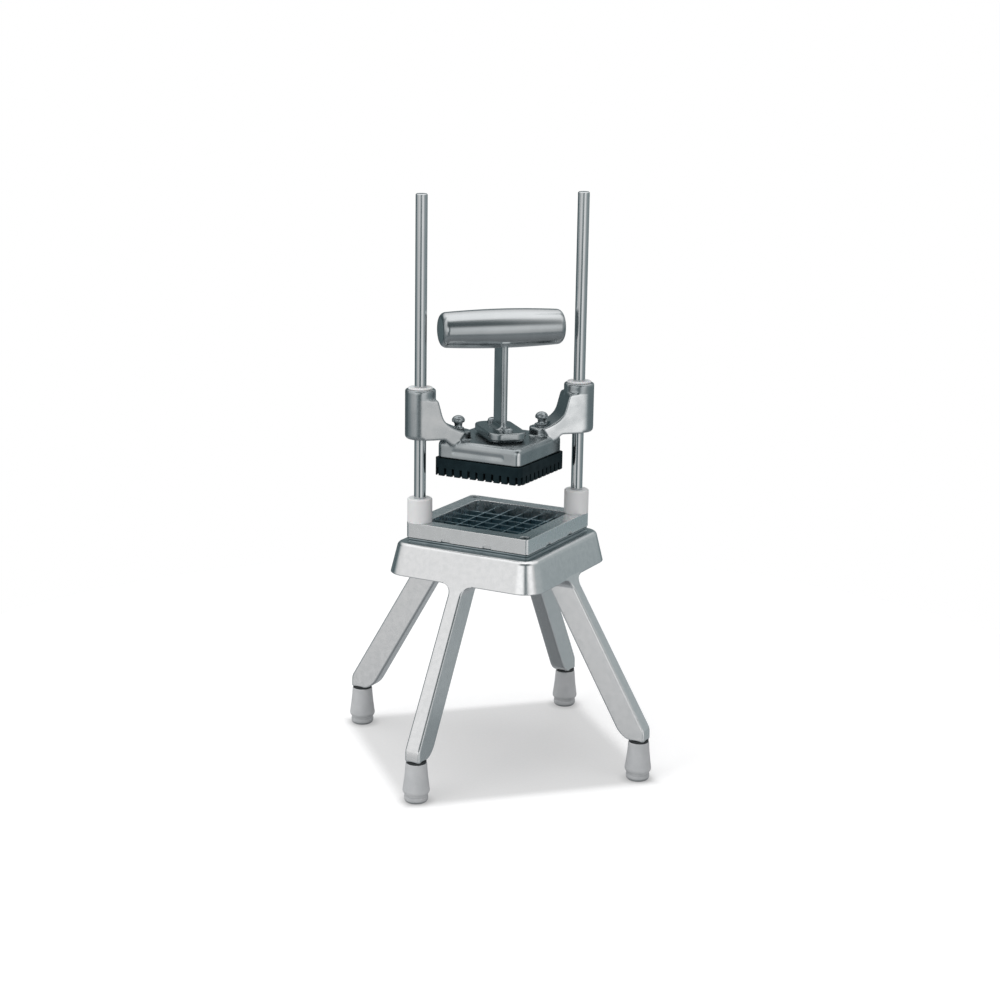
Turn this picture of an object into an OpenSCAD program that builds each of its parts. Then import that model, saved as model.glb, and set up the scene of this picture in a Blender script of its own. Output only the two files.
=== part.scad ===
// Upright french fry cutter: four cast legs, a square blade grid in a plate, two guide rods
// and a sliding head that a T handle pushes down.
// Millimetres. X runs from rod to rod, the operator stands at -Y, +Z is up, and the origin
// is on the floor under the middle of the grid. The square pieces stand on their corners.

/* [Cutting grid] */
// Side of one square cell, blade middle to blade middle
cell_pitch = 14.3; // [13.5:0.1:15]
// Cells along each side of the opening
cell_count = 6; // [6:1:8]
// Thickness of a blade strip
blade_t = 1; // [0.8:0.1:1.2]
// Height of a blade strip
blade_h = 11; // [9:0.5:12]
// Depth of the blade edges below the top of the plate
blade_recess = 6.5; // [5:0.5:7.5]
// Length of each blade end that the plate holds
blade_seat = 4.5; // [3:0.5:6]
// Gap round a blade in its slots
blade_gap = 0.05; // [0.02:0.01:0.08]
// Gap between the hanging part of a blade and the wall of the opening
blade_end_gap = 0.6; // [0.4:0.1:1]

/* [Blade plate] */
// Width of the plate beside the opening
plate_rim = 12.6; // [12:0.1:15]
// Thickness of the plate
plate_t = 12; // [11.5:0.1:14]
// Corner radius of the plate
plate_r = 3; // [2:0.5:5]
// Corner radius of the opening
opening_r = 6; // [5:0.5:8]
// Length of the small nicks in the plate's lower edge
nick_len = 7.5; // [5:0.5:9]
// Distance of those nicks from the middle of each side
nick_place = 19; // [14:0.5:24]
// Height of those nicks
nick_h = 2; // [1.5:0.1:3]
// Depth of those nicks
nick_depth = 1; // [0.6:0.1:1.4]
// Diameter of the screws that hold the plate
holder_screw_d = 4.8; // [4:0.1:5.2]
// Distance of those screws from the middle, beyond that of the rods
holder_screw_out = 3.7; // [3:0.1:4.2]
// Head diameter of those screws
holder_head_d = 8; // [7.5:0.1:8.6]
// Head height of those screws
holder_head_h = 2.6; // [2.2:0.1:3]
// Gap round those heads in the plate
head_clear = 0.3; // [0.2:0.05:0.5]

/* [Guide rods] */
// Diameter of a guide rod
rod_d = 9.5; // [9:0.1:10]
// Metal left between a rod and the corner of the opening
rod_wall = 3.9; // [3.5:0.1:4.2]
// Length of a rod above the plate
rod_rise = 263.5; // [240:0.5:290]
// Bevel at the top of a rod
rod_bevel = 0.8; // [0.4:0.1:1.2]
// Outside diameter of a bumper
bumper_d = 20.2; // [18:0.1:21]
// Height of a bumper
bumper_h = 19.7; // [18:0.1:22]
// Width across the corners of a rod nut
nut_d = 17.5; // [16.5:0.1:18]
// Height of a rod nut
nut_h = 6.5; // [5:0.1:7]
// Thickness of a rod washer
washer_t = 1.4; // [1:0.1:1.8]
// Length of rod that shows below its nut
rod_tail = 2; // [1:0.5:4]

/* [Base casting] */
// Height of the lower edge of the skirt above the floor
skirt_z = 160.8; // [145:0.1:180]
// Height of the skirt
skirt_h = 25.5; // [24:0.1:30]
// Width of the step round the plate on top of the skirt
skirt_step = 7.8; // [6.5:0.1:10]
// Distance that the skirt spreads from its top edge to its lower edge
skirt_flare = 6; // [4:0.1:9]
// Corner radius at the lower edge
skirt_bottom_r = 18; // [15:0.5:21]
// Corner radius at the top edge
skirt_top_r = 13; // [11:0.5:16]
// Wall of the skirt
skirt_wall = 6; // [5:0.1:7]
// Rounding of the skirt's top edge
skirt_edge_r = 3; // [2:0.1:4]
// Thickness of the table inside the skirt
table_t = 6.5; // [5.5:0.1:8]
// Height of the raised ledge that carries the plate
ledge_h = 4; // [3:0.1:5]
// Distance that the ledge stays inside the plate's edge
ledge_inset = 0.5; // [0.3:0.1:2]
// Diameter of the bosses under the rods
rod_boss_d = 19; // [18:0.1:21]
// Depth of those bosses under the table
rod_boss_h = 3; // [2:0.1:4]

/* [Legs and feet] */
// Distance of each foot from the middle of the grid
foot_reach = 131.4; // [124:0.1:142]
// Depth of a leg, measured outwards from the middle, at the skirt
leg_depth_top = 25; // [22:0.5:26]
// Depth of a leg just above its foot
leg_depth_foot = 25.5; // [22:0.5:28]
// Width of a leg at the skirt
leg_width_top = 12; // [10:0.5:14]
// Width of a leg just above its foot
leg_width_foot = 13.5; // [13:0.5:18]
// Radius of the long edges of a leg
leg_r = 2; // [1:0.5:3]
// Radius of the fillet where a leg meets the skirt
leg_fillet = 8; // [5:0.5:10]
// Height of the upright flat on the outside of the toe
leg_toe = 9; // [8:0.5:11]
// Depth of the round on the inside of the toe
leg_toe_in = 8; // [6:0.5:8]
// Height of a foot
foot_h = 32.5; // [28:0.5:36]
// Diameter of a foot at its top
foot_top_d = 17; // [15.5:0.5:18]
// Diameter of a foot where it is widest
foot_belly_d = 21.5; // [20.5:0.5:23]
// Height of that level
foot_belly_z = 10; // [9:0.5:13]
// Diameter of the base ring
foot_ring_d = 19; // [18:0.5:20]
// Height of the base ring
foot_ring_h = 5.5; // [5:0.5:6]
// Depth of the recess under a foot
foot_recess = 2; // [1:0.5:3]
// Thickness of the washer between foot and leg
foot_washer_t = 1.5; // [1:0.1:2]
// Diameter of the stud in a foot
stud_d = 6; // [5:0.1:6.5]
// Length of the stud in the leg
stud_grip = 8; // [6:0.5:9]
// Length of the stud in the foot
foot_grip = 24.5; // [18:0.5:26]

/* [Sliding head] */
// Gap between the collars and the bumpers as photographed
head_gap = 49; // [40:0.5:70]
// Outside diameter of a collar
collar_d = 24.7; // [24:0.1:26]
// Height of a collar
collar_h = 40.3; // [38:0.1:44]
// Rounding at the lower edge of a collar
collar_round = 3; // [2:0.1:4]
// Depth of the head body below the collars
body_drop = 16.3; // [14:0.1:18]
// Distance from the block's edge to the head body's edge
body_inset = 1.6; // [1:0.1:2.5]
// Height of the head body
body_h = 14.7; // [13.5:0.1:16]
// Corner radius of the head body
body_r = 5; // [4:0.5:7]
// Bevel round the top of the head body
body_bevel = 4; // [3:0.1:5]
// Wall left round the hollow underside
body_wall = 6; // [5:0.1:7]
// Depth of the hollow underside
body_hollow = 7.5; // [6:0.1:8]
// Corner radius of the hollow underside
hollow_r = 4; // [3:0.5:6]
// Diameter of the pillars round the thumb screws in the hollow
thumb_pillar_d = 16; // [14:0.5:17]
// Diameter of the pillars round the handle screws in the hollow
handle_pillar_d = 12; // [10:0.5:13]
// Height of the blank panel sunk in the front left and back right sides
panel_h = 3.8; // [3:0.1:5]
// Height of that panel above the lower edge of the head body
panel_z = 4.3; // [3:0.1:5]
// Length of that panel
panel_len = 46; // [30:0.5:50]
// Depth of that panel
panel_depth = 0.8; // [0.5:0.1:1.2]
// Distance of the arm's top edge below the top of the collar
arm_top_drop = 7.4; // [5:0.1:9]
// Radius of the arm's round shoulder beside the collar
arm_shoulder_r = 3; // [2:0.5:4]
// Lean in degrees of the arm's straight edge below its shoulder
arm_lean = 15; // [10:1:20]
// Distance from the top of the collar down to the end of that straight edge
arm_straight = 21; // [18:0.5:23]
// Distance that the arm's hollow curve dips towards the collar
arm_dip = 13.4; // [11:0.1:16]
// Distance that the arm runs past the middle of the thumb screw
arm_past = 3; // [1:0.5:5]
// Distance from the thumb screw to where the arm's underside meets the body
arm_step = 4; // [3:0.5:6]
// Outside diameter of a bushing
bushing_d = 15; // [14:0.1:16]
// Diameter of the bushing's flange
bushing_flange_d = 19.8; // [18:0.1:22.5]
// Thickness of the bushing's flange
bushing_flange_t = 1.5; // [1.2:0.1:2.4]
// Gap between a rod and its bushing
rod_gap = 0.06; // [0.03:0.01:0.09]

/* [Pusher block] */
// Gap between the block and the opening on each side
block_gap = 3.5; // [3:0.1:4.5]
// Height of the block
block_h = 14.2; // [13.5:0.1:16]
// Corner radius of the block
block_r = 5; // [4:0.5:7]
// Grooves for each cell of the grid: with two, the block also fits a grid twice as fine
cell_grooves = 2; // [1:1:2]
// Width of the grooves that let the blades in
groove_w = 2.2; // [2:0.1:3]
// Depth that those grooves keep beyond the blade edges at the lowest stroke
groove_spare = 2.3; // [1.5:0.1:3]

/* [Thumb screws] */
// Distance of each thumb screw from the corner of the block
thumb_inset = 20.5; // [19.5:0.1:21.5]
// Diameter of the round boss under a thumb screw
thumb_boss_d = 20; // [18:0.1:21]
// Height of that boss above the head body
thumb_boss_h = 7; // [6:0.1:8]
// Diameter of the knob
knob_d = 10.6; // [9:0.1:12]
// Height of the knob with its neck
knob_h = 11; // [10:0.1:14]
// Diameter of the threaded shank
thumb_shank_d = 5; // [4:0.1:5.6]
// Outside diameter of the insert in the block
insert_d = 8; // [7.4:0.1:8.6]
// Block left between an insert and the grooves
insert_floor = 1; // [0.6:0.1:1.5]
// Gap round the shank
thumb_gap = 0.08; // [0.04:0.01:0.09]
// Thickness of the washer under the knob
thumb_washer_t = 1; // [0.8:0.1:1.4]
// Gap round the knob where its boss cuts into the arm
knob_gap = 0.8; // [0.5:0.1:1.2]

/* [Handle] */
// Length of the grip
grip_len = 102; // [90:0.5:120]
// Diameter of the grip at its middle
grip_d = 31.5; // [28:0.1:34]
// Diameter of the grip at its ends
grip_end_d = 28.5; // [25.5:0.1:30]
// Rounding of the grip's ends
grip_round = 5; // [4:0.1:7]
// Height of the grip's middle above the head body
grip_rise = 88.5; // [75:0.5:110]
// Width of the stem from left to right
stem_w = 5.6; // [5:0.1:8]
// Depth of the stem from front to back
stem_depth = 23.5; // [20:0.1:25]
// Fillet at both ends of the stem
stem_fillet = 4; // [2:0.1:5]
// Width of the flange from left to right
flange_w = 31; // [30:0.5:34]
// Length of the flange from front to back
flange_len = 56; // [54:0.5:60]
// Corner radius of the flange
flange_corner_r = 10; // [8:0.5:12]
// Thickness of the flange
flange_t = 5.4; // [4.5:0.1:6.5]
// Height of the raised seat under the flange
seat_h = 2.4; // [2:0.1:3.5]
// Distance that the raised seat stays inside the flange
seat_inset = 2.2; // [1.5:0.1:3]
// Distance of each handle screw from the middle
handle_screw_y = 22; // [21:0.1:23]
// Diameter of a handle screw
handle_screw_d = 4.8; // [4:0.1:5.2]
// Head diameter of a handle screw
handle_head_d = 7.6; // [7.4:0.1:8]
// Head height of a handle screw
handle_head_h = 3; // [2.6:0.1:3.6]
// Thickness of the washer under a handle screw
handle_washer_t = 0.9; // [0.7:0.1:1.2]
// Metal left under the tip of a handle screw
handle_screw_floor = 3; // [2:0.5:5]
// Gap round a handle screw's head in its spot face
handle_head_gap = 0.9; // [0.7:0.1:1.2]

/* [Hidden] */
$fn = 64;
// Sides of the arcs in swept outlines
ARC = 6;
// Overlap where two shapes of one casting join
JOIN = 0.5;
// Extra length of a cut past a face
CUT = 1;
// Gap between pieces that are seated on each other
SEAT = 0.05;

// Plan sizes. A square standing on its corner reaches side / sqrt(2) along X and Y.
CORNER_LOSS = sqrt(2) - 1;
opening = cell_count * cell_pitch;
plate_side = opening + 2 * plate_rim;
skirt_top = plate_side + 2 * skirt_step;
skirt_bottom = skirt_top + 2 * skirt_flare;
rod_x = opening / sqrt(2) - CORNER_LOSS * opening_r + rod_wall + rod_d / 2;
screw_y = rod_x + holder_screw_out;
block_side = opening - 2 * block_gap;
thumb_x = block_side / sqrt(2) - thumb_inset;
body_side = block_side - 2 * body_inset;
grid_half = (cell_count - 2) * cell_pitch / 2;
groove_pitch = cell_pitch / cell_grooves;
groove_half = (cell_count * cell_grooves - 2) * groove_pitch / 2;

// Heights
table_z = skirt_z + skirt_h;
plate_z = table_z + ledge_h;
plate_top = plate_z + plate_t;
blade_top = plate_top - blade_recess;
bumper_top = plate_top + bumper_h;
collar_z = bumper_top + head_gap;
collar_top = collar_z + collar_h;
body_z = collar_z - body_drop;
body_top = body_z + body_h;
block_z = body_z - block_h;
blade_entry = blade_top - (block_z - head_gap);
groove_d = max(blade_entry, 0) + groove_spare;
flange_z = body_top + seat_h;
flange_top = flange_z + flange_t;
grip_z = body_top + grip_rise;
boss_top = body_top + thumb_boss_h;
rod_top = plate_top + rod_rise;
boss_under = table_z - table_t - rod_boss_h;
nut_top = boss_under - washer_t;
leg_end = foot_h + foot_washer_t;
handle_tip = body_z + handle_screw_floor;
insert_h = block_h - groove_d - insert_floor;

// Corner points of a rounded rectangle, counter-clockwise
function round_rect(w, d, r, n = ARC) = [
    for (q = [0:3]) for (i = [0:n])
        let (a = 90 * q + 90 * i / n,
             sx = (q == 0 || q == 3) ? 1 : -1,
             sy = q < 2 ? 1 : -1)
        [sx * (w / 2 - r) + r * cos(a), sy * (d / 2 - r) + r * sin(a)]];

// The same outline as a ring at height z, moved by x
function ring(pts, z, x = 0) = [for (p = pts) [p[0] + x, p[1], z]];

// Closed skin over a stack of rings with equal point counts, lowest ring first
module skin(rings) {
    n = len(rings[0]);
    last = (len(rings) - 1) * n;
    polyhedron(
        points = [for (r = rings) for (p = r) p],
        faces = concat(
            [[for (i = [0:n - 1]) i]],
            [for (k = [0:len(rings) - 2]) for (i = [0:n - 1])
                let (a = k * n + i, b = k * n + (i + 1) % n) [a, a + n, b + n]],
            [for (k = [0:len(rings) - 2]) for (i = [0:n - 1])
                let (a = k * n + i, b = k * n + (i + 1) % n) [a, b + n, b]],
            [[for (i = [n - 1:-1:0]) last + i]]));
}

// Rounded rectangle with exact corners
module round_square(w, d, r) {
    square([w - 2 * r, d], center = true);
    square([w, d - 2 * r], center = true);
    for (x = [-1, 1], y = [-1, 1])
        translate([x * (w / 2 - r), y * (d / 2 - r)]) circle(r);
}

// Rounded square plate standing on its corner
module square_plate(side, r, z, h) {
    rotate([0, 0, 45]) translate([0, 0, z]) linear_extrude(h) round_square(side, side, r);
}

module at_rods() { for (s = [-1, 1]) translate([s * rod_x, 0, 0]) children(); }
module at_plate_screws() { for (s = [-1, 1]) translate([0, s * screw_y, 0]) children(); }
module at_feet() { for (a = [45:90:315]) rotate([0, 0, a]) translate([foot_reach, 0, 0]) children(); }
module at_thumbs() { for (s = [-1, 1]) translate([s * thumb_x, 0, 0]) children(); }
module at_handle_screws() {
    for (s = [-1, 1]) translate([0, s * handle_screw_y, 0]) children();
}

module tube(r_out, r_in, z, h) {
    translate([0, 0, z]) difference() {
        cylinder(r = r_out, h = h);
        translate([0, 0, -CUT]) cylinder(r = r_in, h = h + 2 * CUT);
    }
}

// One leg in its own frame: X points outwards. It follows a straight slant, ends in a toe
// that is upright outside and round inside, and widens in a quarter-round fillet at its top.
module leg() {
    slope = (foot_reach - skirt_bottom / 2 + leg_depth_top / 2) / (skirt_z - leg_end);
    function mid(z) = skirt_bottom / 2 - leg_depth_top / 2 + (skirt_z - z) * slope;
    function part(z) = (skirt_z - z) / (skirt_z - leg_end);
    function wide(z) = leg_width_top + (leg_width_foot - leg_width_top) * part(z);
    function deep(z) = leg_depth_top + (leg_depth_foot - leg_depth_top) * part(z);
    function flare(z) = leg_fillet - sqrt(max(0, pow(leg_fillet, 2)
        - pow(max(0, z - skirt_z + leg_fillet), 2)));
    toe_z = leg_end + leg_toe;
    toe_out = mid(toe_z) + deep(toe_z) / 2;
    toe_rings = [for (a = [0:22.5:67.5])
        let (z = leg_end + leg_toe * (1 - cos(a)),
             toe_in = mid(z) - deep(z) / 2 + leg_toe_in * (1 - sin(a)))
        ring(round_rect(toe_out - toe_in, wide(z), leg_r, 3), z, (toe_out + toe_in) / 2)];
    body_rings = [for (z = [toe_z, skirt_z - leg_fillet])
        ring(round_rect(deep(z), wide(z), leg_r, 3), z, mid(z))];
    fillet_rings = [for (a = [30:15:90])
        let (z = skirt_z - leg_fillet * (1 - sin(a)))
        ring(round_rect(deep(z), wide(z) + 2 * flare(z), leg_r, 3), z, mid(z))];
    // The last ring sinks into the skirt, clear of its sloping face
    sink = 3;
    top_ring = ring(round_rect(leg_depth_top - 2 * CUT, leg_width_top + 2 * leg_fillet, leg_r, 3),
                    skirt_z + sink, skirt_bottom / 2 - leg_depth_top / 2 - CUT);
    skin(concat(toe_rings, body_rings, fillet_rings, [top_ring]));
}

// Height by height rounded square of the skirt, shrunk by the inset
function skirt_ring(z, inset) =
    let (t = (z - skirt_z) / skirt_h,
         side = skirt_bottom + (skirt_top - skirt_bottom) * t - 2 * inset,
         r = skirt_bottom_r + (skirt_top_r - skirt_bottom_r) * t - inset)
    ring(round_rect(side, side, r), z);

module base_casting() {
    rib_in = skirt_bottom / 2 - leg_depth_top;
    rib_len = skirt_top / 2 - skirt_wall / 2 - rib_in;
    under = table_z - table_t;
    color("silver") difference() {
        union() {
            difference() {
                rotate([0, 0, 45]) skin(concat(
                    [skirt_ring(skirt_z, 0)],
                    [for (a = [0:30:90]) skirt_ring(table_z - skirt_edge_r * (1 - sin(a)),
                        skirt_edge_r * (1 - cos(a)))]));
                rotate([0, 0, 45]) skin([
                    skirt_ring(skirt_z - CUT, skirt_wall), skirt_ring(under, skirt_wall)]);
            }
            square_plate(plate_side - 2 * ledge_inset, plate_r, under, table_t + ledge_h);
            for (a = [45:90:315]) rotate([0, 0, a]) {
                leg();
                translate([rib_in, -leg_width_top / 2, skirt_z + CUT])
                    cube([rib_len, leg_width_top, under - skirt_z]);
            }
            at_rods() translate([0, 0, boss_under])
                cylinder(d = rod_boss_d, h = rod_boss_h + JOIN);
        }
        square_plate(opening, opening_r, boss_under - CUT, plate_z - boss_under + 2 * CUT);
        at_rods() translate([0, 0, boss_under - CUT])
            cylinder(r = rod_d / 2 + SEAT, h = plate_z - boss_under + 2 * CUT);
        at_plate_screws() translate([0, 0, under - CUT])
            cylinder(r = holder_screw_d / 2 + SEAT, h = plate_z - under + 2 * CUT);
        at_feet() translate([0, 0, leg_end - CUT])
            cylinder(r = stud_d / 2 + SEAT, h = stud_grip + CUT + SEAT);
    }
}

// A foot is a moulded sleeve that widens downwards, a fine groove and a rounded base ring
module foot(a) {
    top_r = foot_top_d / 2;
    belly_r = foot_belly_d / 2;
    ring_r = foot_ring_d / 2;
    edge = 3;
    tuck = 4;
    recess_r = ring_r - edge - 2;
    bore = stud_d / 2 + SEAT;
    rise = foot_h - 1 - foot_belly_z;
    function flare(t) = belly_r + (top_r - belly_r) * (t + sin(90 * t)) / 2;
    color("dimgray") rotate([0, 0, a]) translate([foot_reach, 0, 0]) difference() {
        rotate_extrude() polygon(concat(
            [[0, 0], [ring_r - edge, 0]],
            [for (t = [-60:30:0]) [ring_r - edge + edge * cos(t), edge + edge * sin(t)]],
            [[ring_r, foot_ring_h]],
            [for (t = [-60:30:0]) [belly_r - tuck + tuck * cos(t), foot_belly_z + tuck * sin(t)]],
            [for (t = [0.25:0.25:1]) [flare(t), foot_belly_z + rise * t]],
            [[top_r - 1, foot_h], [0, foot_h]]));
        translate([0, 0, foot_h - foot_grip]) cylinder(r = bore, h = foot_grip + CUT);
        translate([0, 0, -CUT]) cylinder(r = recess_r, h = CUT + foot_recess);
    }
}
module foot_front_left() { foot(225); }
module foot_front_right() { foot(315); }
module foot_back_left() { foot(135); }
module foot_back_right() { foot(45); }

module foot_washers() {
    color([0.2, 0.21, 0.22]) at_feet()
        tube(foot_top_d / 2 - JOIN, stud_d / 2 + SEAT, foot_h, foot_washer_t);
}

module foot_studs() {
    color("gray") at_feet() translate([0, 0, foot_h - foot_grip + SEAT])
        cylinder(d = stud_d, h = foot_grip + foot_washer_t + stud_grip - SEAT);
}

// Slots for the blade ends, open below. The lower strips run along U, the upper ones along V.
module blade_slots() {
    long = opening + 2 * blade_seat + 2 * blade_gap;
    wide = blade_t + 2 * blade_gap;
    high = blade_top - plate_z + blade_gap + CUT;
    rotate([0, 0, 45]) for (turn = [0, 90], c = [-grid_half:cell_pitch:grid_half + JOIN])
        rotate([0, 0, turn]) translate([-long / 2, c - wide / 2, plate_z - CUT])
            cube([long, wide, high]);
}

module blade_plate() {
    color([0.72, 0.73, 0.75]) difference() {
        square_plate(plate_side, plate_r, plate_z, plate_t);
        rotate([0, 0, 45]) for (turn = [0:90:270], s = [-1, 1]) rotate([0, 0, turn])
            translate([plate_side / 2 - nick_depth, s * nick_place - nick_len / 2, plate_z - CUT])
                cube([nick_depth + CUT, nick_len, nick_h + CUT]);
        square_plate(opening, opening_r, plate_z - CUT, plate_t + 2 * CUT);
        blade_slots();
        at_rods() translate([0, 0, plate_z - CUT])
            cylinder(r = rod_d / 2 + SEAT, h = plate_t + 2 * CUT);
        at_plate_screws() {
            translate([0, 0, plate_z - CUT])
                cylinder(r = holder_screw_d / 2 + SEAT, h = plate_t + 2 * CUT);
            translate([0, 0, plate_top - holder_head_h - SEAT])
                cylinder(r = holder_head_d / 2 + head_clear, h = holder_head_h + CUT);
        }
    }
}

// A row of blade strips along X. Where the strips cross the other row, a slot half as deep
// as the blade lets them lock together, from below when up is 1 and from above when it is 0.
// The ends rest on the table and the middle hangs down into the opening.
module blade_row(up) {
    ends = opening + 2 * blade_seat;
    hang = opening - 2 * blade_end_gap;
    low = blade_top - blade_h;
    half = blade_top - blade_h / 2;
    slot = blade_t + 2 * blade_gap;
    for (c = [-grid_half:cell_pitch:grid_half + JOIN]) difference() {
        translate([0, c - blade_t / 2, 0]) union() {
            translate([-ends / 2, 0, plate_z + SEAT])
                cube([ends, blade_t, blade_top - plate_z - SEAT]);
            translate([-hang / 2, 0, low]) cube([hang, blade_t, blade_h]);
        }
        for (k = [-grid_half:cell_pitch:grid_half + JOIN])
            translate([k - slot / 2, c - blade_t, up == 1 ? low - CUT : half - blade_gap])
                cube([slot, 2 * blade_t, blade_h / 2 + CUT + blade_gap]);
    }
}

module upper_blades() { color([0.62, 0.65, 0.68]) rotate([0, 0, 135]) blade_row(1); }
module lower_blades() { color([0.62, 0.65, 0.68]) rotate([0, 0, 45]) blade_row(0); }

module plate_screws() {
    z = plate_top - holder_head_h;
    tip = table_z - table_t + JOIN;
    color("slategray") at_plate_screws() difference() {
        union() {
            translate([0, 0, z]) cylinder(d = holder_head_d, h = holder_head_h - head_clear);
            translate([0, 0, tip]) cylinder(d = holder_screw_d, h = z - tip + JOIN);
        }
        translate([0, 0, z + 1]) cylinder(d = holder_head_d / 2, h = holder_head_h, $fn = 6);
    }
}

module guide_rod(side) {
    foot = nut_top - nut_h - rod_tail;
    r = rod_d / 2;
    color("gainsboro") translate([side * rod_x, 0, 0]) rotate_extrude() polygon([
        [0, foot], [r - rod_bevel, foot], [r, foot + rod_bevel],
        [r, rod_top - rod_bevel], [r - rod_bevel, rod_top], [0, rod_top]]);
}
module left_guide_rod() { guide_rod(-1); }
module right_guide_rod() { guide_rod(1); }

module rod_washers() {
    color("darkgray") at_rods()
        tube(rod_boss_d / 2 - JOIN, rod_d / 2 + SEAT, nut_top, washer_t);
}

module rod_nuts() {
    color("darkgray") at_rods() translate([0, 0, nut_top - nut_h]) difference() {
        cylinder(d = nut_d, h = nut_h, $fn = 6);
        translate([0, 0, -CUT]) cylinder(r = rod_d / 2 + SEAT, h = nut_h + 2 * CUT);
    }
}

module bumper(side) {
    bevel = 0.8;
    r = bumper_d / 2;
    bore = rod_d / 2 + SEAT;
    color("white") translate([side * rod_x, 0, plate_top]) rotate_extrude() polygon([
        [bore, 0], [r, 0], [r, bumper_h - bevel], [r - bevel, bumper_h], [bore, bumper_h]]);
}
module left_bumper() { bumper(-1); }
module right_bumper() { bumper(1); }

// Points of a three-point curve that leaves a towards b and arrives at c from b
function bend(a, b, c, n) = [for (i = [0:n]) let (t = i / n)
    (1 - t) * (1 - t) * a + 2 * t * (1 - t) * b + t * t * c];

// Side view of an arm: level under the collar and a short step down to the body. Above, a
// hollow curve climbs from the boss of the thumb screw to a straight, steep edge that ends
// in a round shoulder beside the collar. Lengths count from the rod's middle.
module arm(side) {
    reach = rod_x - thumb_x;
    top = collar_top - arm_top_drop;
    r = arm_shoulder_r;
    shoulder = [for (a = [arm_lean:(90 - arm_lean) / 5:90 + JOIN])
        [collar_d / 2 - r + r * cos(a), top - r + r * sin(a)]];
    knee_z = collar_top - arm_straight;
    knee = [shoulder[0].x + (shoulder[0].y - knee_z) * tan(arm_lean), knee_z];
    step_z = body_top - 3;
    step_in = reach - arm_step;
    outline = concat(
        [[0, collar_z], [step_in - 10, collar_z], [step_in - 5, step_z], [step_in, step_z]],
        bend([reach + arm_past, boss_top], [reach - arm_dip, boss_top + 4.8], knee, 10),
        shoulder, [[0, top]]);
    thick = collar_d;
    translate([side * rod_x, 0, 0]) mirror([side > 0 ? 1 : 0, 0, 0])
        rotate([90, 0, 0]) translate([0, 0, -thick / 2]) linear_extrude(thick) polygon(outline);
}

module handle_outline(inset) {
    round_square(flange_w - 2 * inset, flange_len - 2 * inset, flange_corner_r - inset);
}

module pusher_head() {
    r = body_r;
    hollow = body_side - 2 * body_wall;
    color([0.78, 0.79, 0.8]) difference() {
        union() {
            square_plate(body_side, r, body_z, body_h - body_bevel);
            rotate([0, 0, 45]) skin([for (a = [0:30:90])
                let (in = body_bevel * (1 - cos(a)))
                ring(round_rect(body_side - 2 * in, body_side - 2 * in, max(r - in, 0.8)),
                     body_top - body_bevel * (1 - sin(a)))]);
            translate([0, 0, body_top - JOIN]) linear_extrude(seat_h + JOIN)
                handle_outline(seat_inset);
            at_thumbs() translate([0, 0, body_top - JOIN])
                cylinder(d = thumb_boss_d, h = thumb_boss_h + JOIN);
            for (s = [-1, 1]) {
                arm(s);
                translate([s * rod_x, 0, 0]) rotate_extrude() polygon(concat(
                    [[0, collar_z]],
                    [for (a = [-90:22.5:0]) [collar_d / 2 - collar_round + collar_round * cos(a),
                        collar_z + collar_round + collar_round * sin(a)]],
                    [[collar_d / 2, collar_top - 0.8], [collar_d / 2 - 0.8, collar_top],
                     [0, collar_top]]));
            }
        }
        difference() {
            square_plate(hollow, hollow_r, body_z - CUT, body_hollow + CUT);
            at_thumbs() translate([0, 0, body_z - 2 * CUT]) cylinder(d = thumb_pillar_d, h = body_h);
            at_handle_screws() translate([0, 0, body_z - 2 * CUT])
                cylinder(d = handle_pillar_d, h = body_h);
        }
        for (turn = [0, 180]) rotate([0, 0, 225 + turn])
            translate([body_side / 2 - panel_depth, -panel_len / 2, body_z + panel_z])
                cube([panel_depth + CUT, panel_len, panel_h]);
        at_rods() translate([0, 0, collar_z - CUT])
            cylinder(r = bushing_d / 2 + SEAT, h = collar_h + 2 * CUT);
        at_thumbs() {
            translate([0, 0, body_z - CUT])
                cylinder(r = thumb_shank_d / 2 + thumb_gap, h = boss_top - body_z + 2 * CUT);
            translate([0, 0, boss_top]) cylinder(r = knob_d / 2 + knob_gap, h = collar_h);
        }
        at_handle_screws() translate([0, 0, handle_tip - SEAT])
            cylinder(r = handle_screw_d / 2 + SEAT, h = flange_z - handle_tip + CUT);
    }
}

module bushing(side) {
    low = collar_z + JOIN;
    color("ivory") translate([side * rod_x, 0, 0]) rotate_extrude() polygon([
        [rod_d / 2 + rod_gap, low], [bushing_d / 2, low], [bushing_d / 2, collar_top],
        [bushing_flange_d / 2, collar_top],
        [bushing_flange_d / 2, collar_top + bushing_flange_t - 0.5],
        [bushing_flange_d / 2 - 0.5, collar_top + bushing_flange_t],
        [rod_d / 2 + rod_gap, collar_top + bushing_flange_t]]);
}
module left_bushing() { bushing(-1); }
module right_bushing() { bushing(1); }

module pusher_block() {
    long = block_side + 2 * CUT;
    color([0.08, 0.09, 0.1]) difference() {
        square_plate(block_side, block_r, block_z, block_h);
        rotate([0, 0, 45]) for (turn = [0, 90], c = [-groove_half:groove_pitch:groove_half + JOIN])
            rotate([0, 0, turn])
                translate([-long / 2, c - groove_w / 2, block_z - CUT])
                    cube([long, groove_w, groove_d + CUT]);
        at_thumbs() translate([0, 0, body_z - insert_h - SEAT])
            cylinder(r = insert_d / 2 + SEAT, h = insert_h + CUT);
    }
}

module block_inserts() {
    color("goldenrod") at_thumbs()
        tube(insert_d / 2, thumb_shank_d / 2 + thumb_gap, body_z - insert_h, insert_h);
}

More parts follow.
